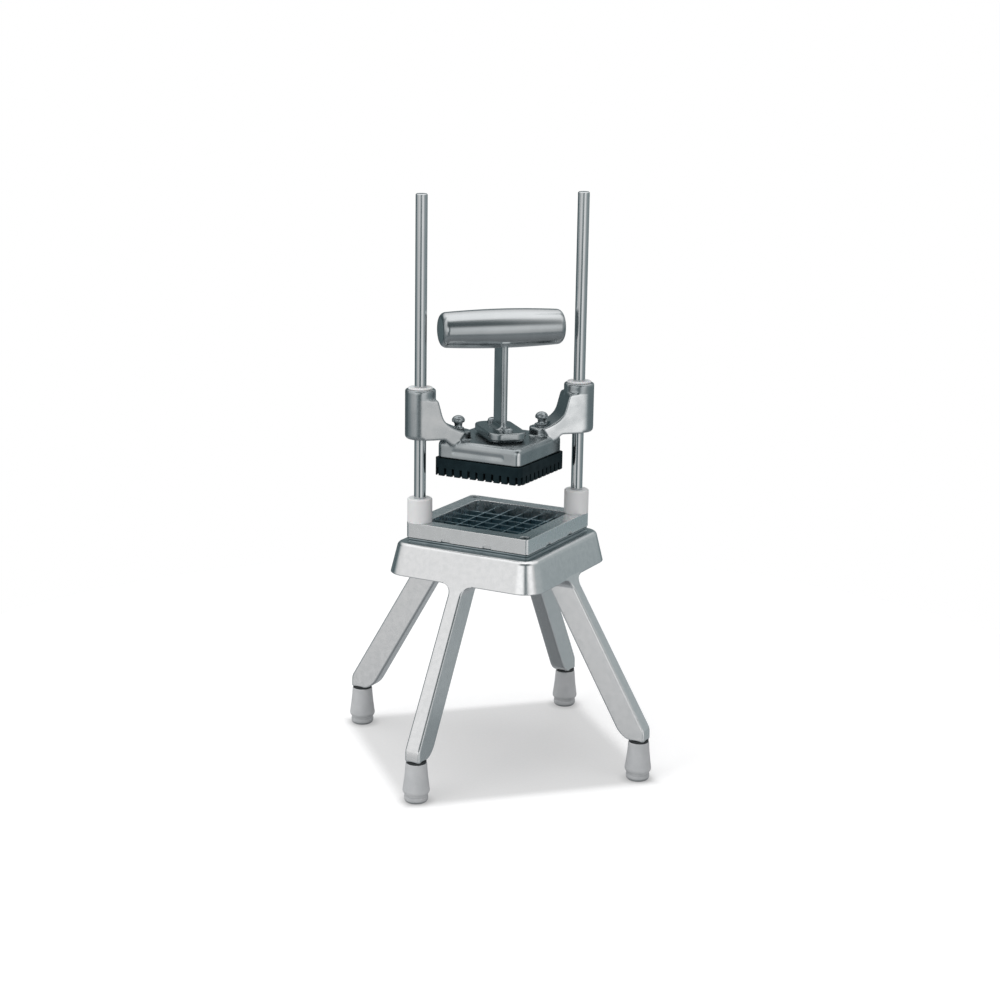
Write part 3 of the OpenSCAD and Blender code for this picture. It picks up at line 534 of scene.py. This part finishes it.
eighth_turn = math.radians(45)
ground_casting = finish("ground cast aluminium", (0.84, 0.845, 0.85), (0.77, 0.78, 0.785), 1.0, 0.19, 0.23,
                        cloud_size=220.0, cloud_amount=0.8, grain_size=620.0, grain_depth=0.30,
                        edge=0.0009, edge_colour=(0.92, 0.92, 0.92))
# The ledge's finish is the skirt's casting painted darker, as painted shade under the plate, and its edges
# are painted bright: a painted highlight.
casting_with_painted_shade = finish("cast aluminium with painted shade", (0.40, 0.46, 0.48), (0.26, 0.32, 0.34), 1.0, 0.34, 0.42,
                      cloud_size=60.0, cloud_amount=0.7, grain_size=800.0, grain_depth=0.4,
                      edge=0.0006, edge_colour=(0.85, 0.86, 0.87), edge_amount=0.9, crevice_shade=0.9)
# The head's ground front faces are painted darker to the left and lighter to the right: painted shade and
# light.
sand_casting = finish("sand cast aluminium", (0.46, 0.49, 0.50), (0.33, 0.365, 0.38), 1.0, 0.23, 0.29,
                      cloud_size=55.0, cloud_amount=0.7, grain_size=620.0, grain_depth=0.28, pits=0.35,
                      edge=0.0008, edge_colour=(0.9, 0.9, 0.9), edge_amount=0.7, crevice_shade=0.6,
                      ground_flats=(0.74, 0.755, 0.76), ground_top=303.9 * mm,
                      patchy=0.45)
# The grip's flanks are painted darker than its top: painted shade.
satin_aluminium = finish("satin aluminium", (0.62, 0.64, 0.65), (0.54, 0.565, 0.575), 1.0, 0.18, 0.22,
                         cloud_size=40.0, cloud_amount=0.6, grain_size=900.0, grain_depth=0.16,
                         stretch=(0.05, 1.0, 1.0), edge=0.0006, edge_colour=(0.92, 0.92, 0.92),
                         flanks_painted_shade=(0.38, 0.405, 0.415))
drawn_aluminium = finish("drawn aluminium", (0.43, 0.46, 0.47), (0.33, 0.36, 0.375), 1.0, 0.20, 0.25,
                         cloud_size=50.0, cloud_amount=0.6, grain_size=900.0, grain_depth=0.14,
                         stretch=(1.0, 1.0, 0.06), edge=0.0006, edge_colour=(0.94, 0.95, 0.95),
                         edge_amount=0.8)
# The plate's sides are painted darker than its top, and its right side lighter than its left: painted shade
# and painted light.
milled_plate = finish("milled aluminium plate", (0.93, 0.935, 0.94), (0.82, 0.84, 0.85), 1.0, 0.24, 0.30,
                      cloud_size=160.0, cloud_amount=0.8, grain_size=700.0, grain_depth=0.28,
                      stretch=(0.15, 1.0, 1.0), turn_by=(0, 0, eighth_turn), edge=0.0008,
                      edge_colour=(0.97, 0.97, 0.97), edge_amount=0.9, flanks_painted_shade=(0.70, 0.715, 0.72),
                      right_flank_painted_light=1.3)
rod_steel = finish("drawn rod steel", (0.64, 0.66, 0.67), (0.56, 0.585, 0.595), 1.0, 0.11, 0.14,
                   cloud_size=25.0, cloud_amount=0.5, grain_size=1400.0, grain_depth=0.05,
                   stretch=(0.3, 0.3, 1.0), edge=0.0004)
# The blades are coloured dark teal: painted shade of the opening they stand in.
blade_steel_painted_dark = finish("blade steel with painted shade", (0.34, 0.49, 0.55), (0.17, 0.27, 0.31), 1.0, 0.26, 0.36,
                     cloud_size=90.0, cloud_amount=0.7, grain_size=1400.0, grain_depth=0.12,
                     stretch=(1.0, 1.0, 0.15), edge=0.00025, edge_colour=(0.42, 0.52, 0.55), edge_amount=0.8)
turned_steel = finish("turned steel", (0.42, 0.46, 0.475), (0.32, 0.355, 0.37), 1.0, 0.30, 0.36,
                      cloud_size=120.0, cloud_amount=0.5, grain_size=1500.0, grain_depth=0.10,
                      stretch=(0.4, 0.4, 1.0), edge=0.0003)
white_nylon = finish("white nylon", (0.87, 0.875, 0.875), (0.80, 0.805, 0.81), 0.0, 0.38, 0.46,
                     cloud_size=60.0, cloud_amount=0.5, grain_size=1200.0, grain_depth=0.12,
                     edge=0.0008, crevice_shade=0.3, Specular_IOR_Level=0.4, Subsurface_Weight=0.04,
                     Subsurface_Scale=0.003)
black_plastic = finish("black moulded plastic", (0.008, 0.020, 0.025), (0.003, 0.010, 0.013), 0.0, 0.45, 0.58,
                       cloud_size=120.0, cloud_amount=0.7, grain_size=1100.0, grain_depth=0.3,
                       edge=0.0004, edge_colour=(0.03, 0.05, 0.058), edge_amount=0.7,
                       Specular_IOR_Level=0.12)
grey_rubber = finish("grey rubber", (0.60, 0.61, 0.62), (0.49, 0.51, 0.52), 0.0, 0.46, 0.58,
                     cloud_size=90.0, cloud_amount=0.6, grain_size=1300.0, grain_depth=0.3,
                     edge=0.0006, edge_colour=(0.68, 0.68, 0.68))
black_rubber = finish("black rubber", (0.03, 0.034, 0.036), (0.015, 0.018, 0.02), 0.0, 0.5, 0.65,
                      cloud_size=150.0, grain_size=1500.0, grain_depth=0.2, edge=0.0003)
insert_brass = finish("brass", (0.72, 0.56, 0.28), (0.55, 0.41, 0.2), 1.0, 0.2, 0.28,
                      cloud_size=150.0, grain_size=1500.0, grain_depth=0.1, edge=0.0003)

# %% [markdown]
# ## Turned, drilled and flat pieces
# Rods, blades, washers, nuts and the machined plate are exact in the frame, down to their
# bores and slots. They keep that mesh and only get their finish.

# %% Finishes for the frame's own meshes
kept = {
    milled_plate: ["blade_plate"],
    blade_steel_painted_dark: ["upper_blades", "lower_blades"],
    rod_steel: ["left_guide_rod", "right_guide_rod"],
    turned_steel: ["plate_screws", "rod_washers", "rod_nuts", "foot_studs", "handle_washers",
                   "handle_screws", "thumb_washers"],
    white_nylon: ["left_bumper", "right_bumper", "left_bushing", "right_bushing"],
    black_plastic: ["pusher_block"],
    black_rubber: ["foot_washers"],
    insert_brass: ["block_inserts"],
}
for material, names in kept.items():
    for name in names:
        dress(nodes[name], material)
print("finished in place:", sum(len(names) for names in kept.values()), "nodes")

# %% [markdown]
# ## The base casting
# The skirt, the table inside it and the ledge under the plate are one casting, ground on its
# outside. Seen from above it is a rounded square, so every level of it is the same ring with
# another side, corner radius and height. A profile carried round that ring gives the whole
# closed body, with true arcs on its rims.

# %% Rounded rings
def rounded_rectangle(width, depth, radius, steps=10):
    """Points of a rounded rectangle, counter-clockwise: four corner arcs joined by straight sides.

    Each term may be an array, with one rectangle for each of its values. A corner's point is
    the corner's middle plus the radius times (cos a, sin a).
    """
    width, depth, radius = [np.atleast_1d(np.asarray(v, float))[:, None] for v in (width, depth, radius)]
    corner = np.repeat(np.arange(4), steps + 1)
    angle = np.radians(90 * corner + np.tile(np.linspace(0, 90, steps + 1), 4))
    side_x = np.where((corner == 0) | (corner == 3), 1, -1)
    side_y = np.where(corner < 2, 1, -1)
    return np.stack([side_x * (width / 2 - radius) + radius * np.cos(angle),
                     side_y * (depth / 2 - radius) + radius * np.sin(angle)], axis=-1)


def stacked(outline, heights):
    """The outlines, one for each height, as rows of points in space."""
    heights = np.broadcast_to(np.asarray(heights, float)[:, None, None], outline.shape[:2] + (1,))
    return np.concatenate([outline, heights], axis=-1)


def turned(points, degrees):
    """The points turned about the Z axis."""
    a = math.radians(degrees)
    return points @ np.array([[math.cos(a), math.sin(a), 0], [-math.sin(a), math.cos(a), 0], [0, 0, 1]])


def arc(centre, radius, start, end, steps):
    """Points of an arc: the centre plus the radius times (cos a, sin a), a in degrees."""
    a = np.radians(np.linspace(start, end, steps + 1))
    return np.stack([centre[0] + radius * np.cos(a), centre[1] + radius * np.sin(a)], axis=-1)


def casting(piece, replaced, body, material):
    """Weighs normals by face area, so flats stay flat beside small arcs, and files the piece."""
    weigh = piece.modifiers.new("flats stay flat", "WEIGHTED_NORMAL")
    weigh.keep_sharp = True
    dress(piece, material)
    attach(piece, body)
    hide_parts(*replaced)
    return piece


# %% Skirt and table
plate_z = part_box("blade_plate")[0].z
opening = 85.8 * mm
opening_radius = 6.0 * mm
plate_border = 12.6 * mm
plate_side = opening + 2 * plate_border
ledge_height = 4.0 * mm
table_z = plate_z - ledge_height
table_border = 7.8 * mm
table_thickness = 6.5 * mm
skirt_height = 25.5 * mm
skirt_z = table_z - skirt_height
skirt_top = plate_side + 2 * table_border
skirt_flare = 6.0 * mm
skirt_bottom = skirt_top + 2 * skirt_flare
skirt_wall = 6.0 * mm
corner_low, corner_high = 18.0 * mm, 13.0 * mm
under = table_z - table_thickness


def skirt_rows(inset, z):
    """Side and corner radius of the skirt at a height, less an inset: both change evenly with z."""
    t = (z - skirt_z) / skirt_height
    side = skirt_bottom + (skirt_top - skirt_bottom) * t - 2 * inset
    radius = corner_low + (corner_high - corner_low) * t - inset
    return np.stack([side, radius, z], axis=-1)


lip = 0.9 * mm
top_edge = 3.0 * mm
hollow_fillet = 4.0 * mm
hole_lip = 0.6 * mm
outer_lip = arc((lip, skirt_z + lip), lip, 270, 180, 4)
top_rim = arc((top_edge, table_z - top_edge), top_edge, 180, 90, 10)
inner_top = arc((skirt_wall + hollow_fillet, under - hollow_fillet), hollow_fillet, 90, 180, 6)
inner_lip = arc((skirt_wall - lip, skirt_z + lip), lip, 0, -90, 4)
# Behind the ledge the hole widens by its lip on each side, then narrows to the opening again.
hole_edge = arc((hole_lip, table_z - hole_lip), hole_lip, 90, 180, 3)
hole_rows = [[opening + 2 * (hole_lip - inset), opening_radius, z] for inset, z in hole_edge]
hole_rows.append([opening, opening_radius, under])
profile = np.vstack([skirt_rows(outer_lip[:, 0], outer_lip[:, 1]), skirt_rows(top_rim[:, 0], top_rim[:, 1]),
                     hole_rows, skirt_rows(inner_top[:, 0], inner_top[:, 1]),
                     skirt_rows(inner_lip[:, 0], inner_lip[:, 1])])
skirt_points = stacked(rounded_rectangle(profile[:, 0], profile[:, 0], profile[:, 1], 14), profile[:, 2])
skirt = surface("skirt_and_table", turned(skirt_points, 45), close_rows=True)
casting(skirt, ["base_casting"], "base", ground_casting)
print("skirt:", len(skirt.data.polygons), "faces")

# %% The ledge under the plate
# Inset is measured from the ledge's side: a fillet at its foot, a neck in shade, a rounded bead
# that stands out under the plate and catches the light, and a thin gap above it. The ledge's
# foot reaches a little into the table.
ledge_step = 0.5 * mm
ledge_side = plate_side - 2 * ledge_step
ledge_foot_z = table_z - 1.0 * mm
ledge_corner = 3.0 * mm
neck_inset, neck_fillet = 0.7 * mm, 1.2 * mm
bead_inset, bead_z, bead_radius = 0.6 * mm, plate_z - 1.35 * mm, 0.75 * mm
gap_inset, gap_height = 1.0 * mm, 0.35 * mm
ledge_foot = arc((neck_inset - neck_fillet, table_z + neck_fillet), neck_fillet, -90, 0, 5)
ledge_bead = arc((bead_inset, bead_z), bead_radius, 235, 110, 10)
ledge_profile = np.vstack([[[neck_inset - neck_fillet, ledge_foot_z]], ledge_foot, ledge_bead,
                           [[gap_inset, plate_z - gap_height], [gap_inset, plate_z]]])
ledge_rows = np.stack([ledge_side - 2 * ledge_profile[:, 0], ledge_corner - ledge_profile[:, 0],
                       ledge_profile[:, 1]], axis=-1)
ledge_rows = np.vstack([ledge_rows, [[opening, opening_radius, plate_z],
                                     [opening, opening_radius, ledge_foot_z]]])
ledge_points = stacked(rounded_rectangle(ledge_rows[:, 0], ledge_rows[:, 0], ledge_rows[:, 1], 8),
                       ledge_rows[:, 2])
ledge = surface("plate_ledge", turned(ledge_points, 45), close_rows=True)
casting(ledge, ["base_casting"], "base", casting_with_painted_shade)

# %% [markdown]
# ## The legs
# Each leg is a slanting bar with rounded edges. It ends in a round toe over its foot and grows
# out of the skirt in a quarter-round fillet on both sides. Its outer face carries on from the
# skirt's face: the two slopes meet in a hyperbola, so no line shows across the leg.

# %% Legs
foot_reach = 131.4 * mm
leg_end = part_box("foot_washers")[1].z
depth_top, depth_foot = 25.0 * mm, 25.5 * mm
width_top, width_foot = 12.0 * mm, 13.5 * mm
leg_edge, leg_end_edge = 2.0 * mm, 0.8 * mm
fillet = 8.0 * mm
toe, toe_in = 9.0 * mm, 8.0 * mm
skirt_bend, toe_bend = 1.5 * mm, 0.8 * mm
slant = (foot_reach - skirt_bottom / 2 + depth_top / 2) / (skirt_z - leg_end)
spread = (skirt_bottom - skirt_top) / 2 / skirt_height
sink = 0.08


def leg_rows():
    """Depth, width, middle and height of each level of a leg, from its toe to its root.

    Reach, the distance of the outer face, follows m d + k sqrt(d^2 + b^2) with d the drop below
    the skirt and b the bend: far down that is the leg's slant, far up the skirt's spread, from
    where it sinks into the skirt's wall. Width adds a quarter circle under the skirt. The toe
    is upright outside, and a quarter of an ellipse takes its inner corner off.
    """
    toe_turn = np.radians(np.linspace(0, 90, 9))
    toe_z = leg_end + toe
    z = np.concatenate([leg_end + np.array([0.0, 0.3, 0.8]) * mm, leg_end + toe * (1 - np.cos(toe_turn[3:])),
                        toe_z + np.array([0.6, 1.6, 3.0]) * mm,
                        np.linspace(toe_z + 3.0 * mm, skirt_z - fillet, 8)[1:],
                        skirt_z - fillet + fillet * np.sin(np.radians(np.linspace(6, 90, 12))),
                        skirt_z + np.array([1.0, 2.5, 5.0, 8.0]) * mm])
    share = np.clip((skirt_z - z) / (skirt_z - leg_end), 0, 1)
    depth = depth_top + (depth_foot - depth_top) * share
    width = width_top + (width_foot - width_top) * share
    climb = np.clip(z - skirt_z + fillet, 0, fillet)
    width = width + 2 * (fillet - np.sqrt(np.maximum(fillet ** 2 - climb ** 2, 0)))
    drop = skirt_z - z
    reach = (skirt_bottom / 2 + (slant + spread) / 2 * drop
             + (slant - spread) / 2 * np.sqrt(drop ** 2 + skirt_bend ** 2))
    reach = reach - sink * np.clip(z - skirt_z - lip, 0, None)
    inner = reach - depth + toe_in * (1 - np.sqrt(1 - np.clip((toe_z - z) / toe, 0, 1) ** 2))
    upright = np.interp(toe_z, z, reach)
    outer = (reach + upright - np.sqrt((reach - upright) ** 2 + toe_bend ** 2)) / 2
    outer = np.where(z < skirt_z - 4 * fillet, outer, reach)
    rounded = np.clip(1 - (z - leg_end) / leg_end_edge, 0, 1) ** 2 * leg_end_edge
    outer, inner, width = outer - rounded, inner + rounded / 2, width - rounded
    return outer - inner, width, (outer + inner) / 2, z


depth, width, leg_middle, leg_z = leg_rows()
leg_outline = rounded_rectangle(depth, width, leg_edge, 5)
leg_outline[..., 0] += leg_middle[:, None]
root = leg_outline[-1:] * np.array([1.0, 0.6]) - np.array([1.5 * mm, 0.0])
leg_points = stacked(np.concatenate([leg_outline, root]), np.append(leg_z, leg_z[-1]))
places = {"front_left": 225, "front_right": 315, "back_left": 135, "back_right": 45}
for place, degrees in places.items():
    leg = surface("leg_" + place, turned(leg_points, degrees), caps=(True, True))
    casting(leg, ["base_casting"], "base", ground_casting)
print("legs:", len(places), "with", len(leg.data.polygons), "faces each")

# %% [markdown]
# ## Under the table
# Turned over, the casting shows a rib that runs from each leg to the skirt, and a boss round
# each guide rod for its washer and nut.

# %% Ribs and bosses
rib_in = skirt_bottom / 2 - depth_top
rib_out = skirt_top / 2 - skirt_wall / 2
rib_rows = np.array([skirt_z + 1.6 * mm, skirt_z + 2.4 * mm, under - 2.0 * mm, under + 1.0 * mm])
rib_grow = np.array([-0.8, 0.0, 0.0, 3.0]) * mm
rib_edge = 1.5 * mm
for place, degrees in places.items():
    outline = rounded_rectangle(rib_out - rib_in + rib_grow, width_top + 2 * rib_grow,
                                rib_edge + rib_grow / 3, 4)
    outline[..., 0] += (rib_in + rib_out) / 2
    rib = surface("rib_" + place, turned(stacked(outline, rib_rows), degrees), caps=(True, True))
    casting(rib, ["base_casting"], "base", sand_casting)


def lathe(profile, centre=(0.0, 0.0), steps=64):
    """A profile of (radius, height) points carried round a vertical axis through the centre."""
    a = np.linspace(0, 2 * math.pi, steps, endpoint=False)
    profile = np.asarray(profile, float)
    r, z = profile[:, :1], profile[:, 1:]
    return np.stack([centre[0] + r * np.cos(a), centre[1] + r * np.sin(a), z + 0 * a], axis=-1)


rod_low, rod_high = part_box("right_guide_rod")
rod_x = (rod_low.x + rod_high.x) / 2
rod_radius = (rod_high.x - rod_low.x) / 2
boss_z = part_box("rod_washers")[1].z
bore = rod_radius + 0.1 * mm
boss_radius, boss_edge, boss_fillet = 9.5 * mm, 0.6 * mm, 2.0 * mm
boss_top = under + 1.0 * mm
boss_profile = np.vstack([[[bore, boss_z]],
                          arc((boss_radius - boss_edge, boss_z + boss_edge), boss_edge, 270, 360, 3),
                          arc((boss_radius + boss_fillet, under - boss_fillet), boss_fillet, 180, 90, 5),
                          [[boss_radius + boss_fillet, boss_top], [bore, boss_top]]])
for side, sign in (("left", -1), ("right", 1)):
    boss = surface(side + "_rod_boss", lathe(boss_profile, (sign * rod_x, 0.0)), close_rows=True)
    casting(boss, ["base_casting"], "base", sand_casting)

# %% [markdown]
# ## The feet
# A foot is moulded rubber pushed over the end of a leg: a sleeve that widens all the way down,
# a fine groove, and a rounded base ring. The profile is made of a smooth flare and arcs, and
# is carried round the foot's axis.

# %% Feet
foot_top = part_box("foot_front_left")[1].z
belly, belly_z, belly_round = 10.75 * mm, 10.0 * mm, 4.0 * mm
sleeve, sleeve_edge = 8.5 * mm, 1.2 * mm
base_ring, base_edge, base_top = 9.5 * mm, 3.0 * mm, 4.6 * mm
groove_z, groove_radius = 5.4 * mm, 0.45 * mm
recess, recess_depth, recess_edge = base_ring - base_edge - 2.0 * mm, 2.0 * mm, 0.6 * mm
flare_share = np.linspace(0, 1, 14)
flare_z = belly_z + (foot_top - sleeve_edge - belly_z) * flare_share
flare_r = belly + (sleeve - belly) * (flare_share + np.sin(flare_share * math.pi / 2)) / 2
foot_profile = np.vstack([
    [[0.0, recess_depth], [recess - 0.4 * mm, recess_depth]],
    arc((recess + recess_edge, recess_edge), recess_edge, 180, 270, 3),
    arc((base_ring - base_edge, base_edge), base_edge, 270, 360, 10), [[base_ring, base_top]],
    arc((base_ring - 0.1 * mm, groove_z), groove_radius, 250, 110, 5),
    arc((belly - belly_round, belly_z), belly_round, -52, -4, 9),
    np.stack([flare_r, flare_z], axis=-1),
    arc((sleeve - sleeve_edge, foot_top - sleeve_edge), sleeve_edge, 5, 90, 5), [[0.0, foot_top]]])
for place, degrees in places.items():
    a = math.radians(degrees)
    centre = (foot_reach * math.cos(a), foot_reach * math.sin(a))
    foot = surface("moulded_foot_" + place, lathe(foot_profile, centre, 72))
    casting(foot, ["foot_" + place], "base", grey_rubber)
print("feet stand on a ring from", round(recess / mm, 1), "to", round((base_ring - base_edge) / mm, 1), "mm")

# %% [markdown]
# ## The sliding head
# The head is sand cast: collars, hollow arms, bosses and body run into each other in soft
# blends that no drawing lists one by one. The frame's solid has all its main forms with sharp
# edges, so a copy of it is laid over with small even faces and then relaxed, the way a
# pattern maker's wax softens every corner and fills every inside angle.

# %% The head casting
head = bpy.data.objects.new("head_casting", nodes["pusher_head"].data.copy())
bpy.context.scene.collection.objects.link(head)
work = bmesh.new()
work.from_mesh(head.data)
bmesh.ops.remove_doubles(work, verts=work.verts, dist=2e-6)
work.to_mesh(head.data)
work.free()
if head.data.has_custom_normals:
    with bpy.context.temp_override(object=head, active_object=head):
        bpy.ops.mesh.customdata_custom_splitnormals_clear()
skin_over = head.modifiers.new("even faces", "REMESH")
skin_over.mode = "VOXEL"
skin_over.voxel_size = 0.75 * mm
skin_over.use_smooth_shade = True
relax = head.modifiers.new("soft corners", "SMOOTH")
relax.factor = 0.5
relax.iterations = 8
dress(head, sand_casting)
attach(head, "head")
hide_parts("pusher_head")
done = head.evaluated_get(bpy.context.evaluated_depsgraph_get())
print("head casting:", len(done.data.polygons), "faces")

# %% [markdown]
# ## The T handle
# The handle is one casting, ground and brushed: a round grip with a slight crown, a flat stem
# that widens in a fillet at both ends, and a flange held by two screws.

# %% Grip
handle_low, handle_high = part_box("t_handle")
grip_half = handle_high.x
grip_radius = 15.75 * mm
grip_end_radius = 14.25 * mm
grip_z = handle_high.z - grip_radius
end_round = 5.0 * mm
crown_x = np.linspace(-1, 1, 25)
crown = grip_end_radius + (grip_radius - grip_end_radius) * np.cos(crown_x * math.pi / 2) ** 0.9
body_x = crown_x * (grip_half - end_round)
left_end = arc((-grip_half + end_round, grip_end_radius - end_round), end_round, 180, 90, 8)
right_end = arc((grip_half - end_round, grip_end_radius - end_round), end_round, 90, 0, 8)
grip_profile = np.vstack([[[-grip_half, 0.0]], left_end, np.stack([body_x, crown], axis=-1)[1:-1], right_end,
                          [[grip_half, 0.0]]])
grip_points = lathe(grip_profile[:, ::-1], steps=96)[..., [2, 0, 1]] + np.array([0.0, 0.0, grip_z])
grip = surface("grip", grip_points)
casting(grip, ["t_handle"], "head", satin_aluminium)

# %% Stem
flange_top = 277.2 * mm
stem_width, stem_depth = 5.6 * mm, 23.5 * mm
stem_fillet, stem_edge = 4.0 * mm, 2.4 * mm
stem_high = grip_z - math.sqrt(grip_radius ** 2 - (stem_depth / 2) ** 2)
ease = np.radians(np.linspace(0, 90, 9))
flare = stem_fillet * (1 - np.sin(ease))
grow = np.concatenate([[stem_fillet], flare, flare[::-1], [stem_fillet]])
stem_z = np.concatenate([[flange_top - 1.0 * mm], flange_top + stem_fillet * (1 - np.cos(ease)),
                         stem_high - stem_fillet * (1 - np.cos(ease[::-1])), [grip_z]])
stem_outline = rounded_rectangle(stem_width + 2 * grow, stem_depth + grow / 2, stem_edge + grow / 2, 8)
stem = surface("stem", stacked(stem_outline, stem_z), caps=(True, True))
casting(stem, ["t_handle"], "head", drawn_aluminium)

# %% Flange
flange_width, flange_length, flange_corner = 31.0 * mm, 56.0 * mm, 10.0 * mm
foot_edge, rim = 0.4 * mm, 1.2 * mm
flange_inset, flange_z = np.vstack([arc((foot_edge, handle_low.z + foot_edge), foot_edge, 270, 180, 2),
                                    arc((rim, flange_top - rim), rim, 180, 90, 6)]).T
flange_outline = rounded_rectangle(flange_width - 2 * flange_inset, flange_length - 2 * flange_inset,
                                   flange_corner - flange_inset, 12)
flange = surface("handle_flange", stacked(flange_outline, flange_z), caps=(True, True))
casting(flange, ["t_handle"], "head", drawn_aluminium)

# %% [markdown]
# ## The thumb screws
# Each thumb screw is turned from bar: a foot that bears on the washer, a waist, and a knob with
# a domed top that two fingers can grip. Its shank is slimmer than its bore in the head, because
# the relaxed head casting closes that bore a little.

# %% Thumb screws
# Heights are measured from the bearing, where the screw sits on its washer.
knob_radius, dome = 5.3 * mm, 4.2 * mm
knob_height = 11.0 * mm
shank, shank_end = 1.8 * mm, 0.5 * mm
bead, bead_round = 4.1 * mm, 0.6 * mm
waist = 3.1 * mm
waist_start, waist_drop = 4.0 * mm, 1.6 * mm
waist_low, waist_high = 1.2 * mm, 2.9 * mm
rim_inset, rim_drop = 0.3 * mm, 1.0 * mm
dome_turn = np.radians(np.linspace(0, 90, 13))
neck_turn = np.radians(np.linspace(0, 90, 9))
for side, sign in (("left", -1), ("right", 1)):
    screw_low, screw_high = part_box(side + "_thumb_screw")
    centre = ((screw_low.x + screw_high.x) / 2, 0.0)
    bearing = screw_high.z - knob_height
    rim_z = screw_high.z - dome
    into_waist = [waist + (waist_start - waist) * (1 - np.sin(neck_turn)),
                  bearing + waist_low + waist_drop * (1 - np.cos(neck_turn))]
    into_knob = [waist + (knob_radius - rim_inset - waist) * (1 - np.cos(neck_turn)),
                 bearing + waist_high + (rim_z - rim_drop - bearing - waist_high) * np.sin(neck_turn)]
    knob_profile = np.vstack([
        [[0.0, screw_low.z], [shank - shank_end, screw_low.z], [shank, screw_low.z + shank_end],
         [shank, bearing], [bead, bearing]],
        arc((bead, bearing + bead_round), bead_round, -60, 90, 5), np.stack(into_waist, axis=-1),
        np.stack(into_knob, axis=-1),
        np.stack([knob_radius * np.cos(dome_turn), rim_z + dome * np.sin(dome_turn)], axis=-1)])
    knob = surface(side + "_knob", lathe(knob_profile, centre, 56))
    casting(knob, [side + "_thumb_screw"], side + "_thumb_screw", turned_steel)

# %% [markdown]
# ## Colour management

# %% Colour management
bpy.context.scene.view_settings.view_transform = "Standard"
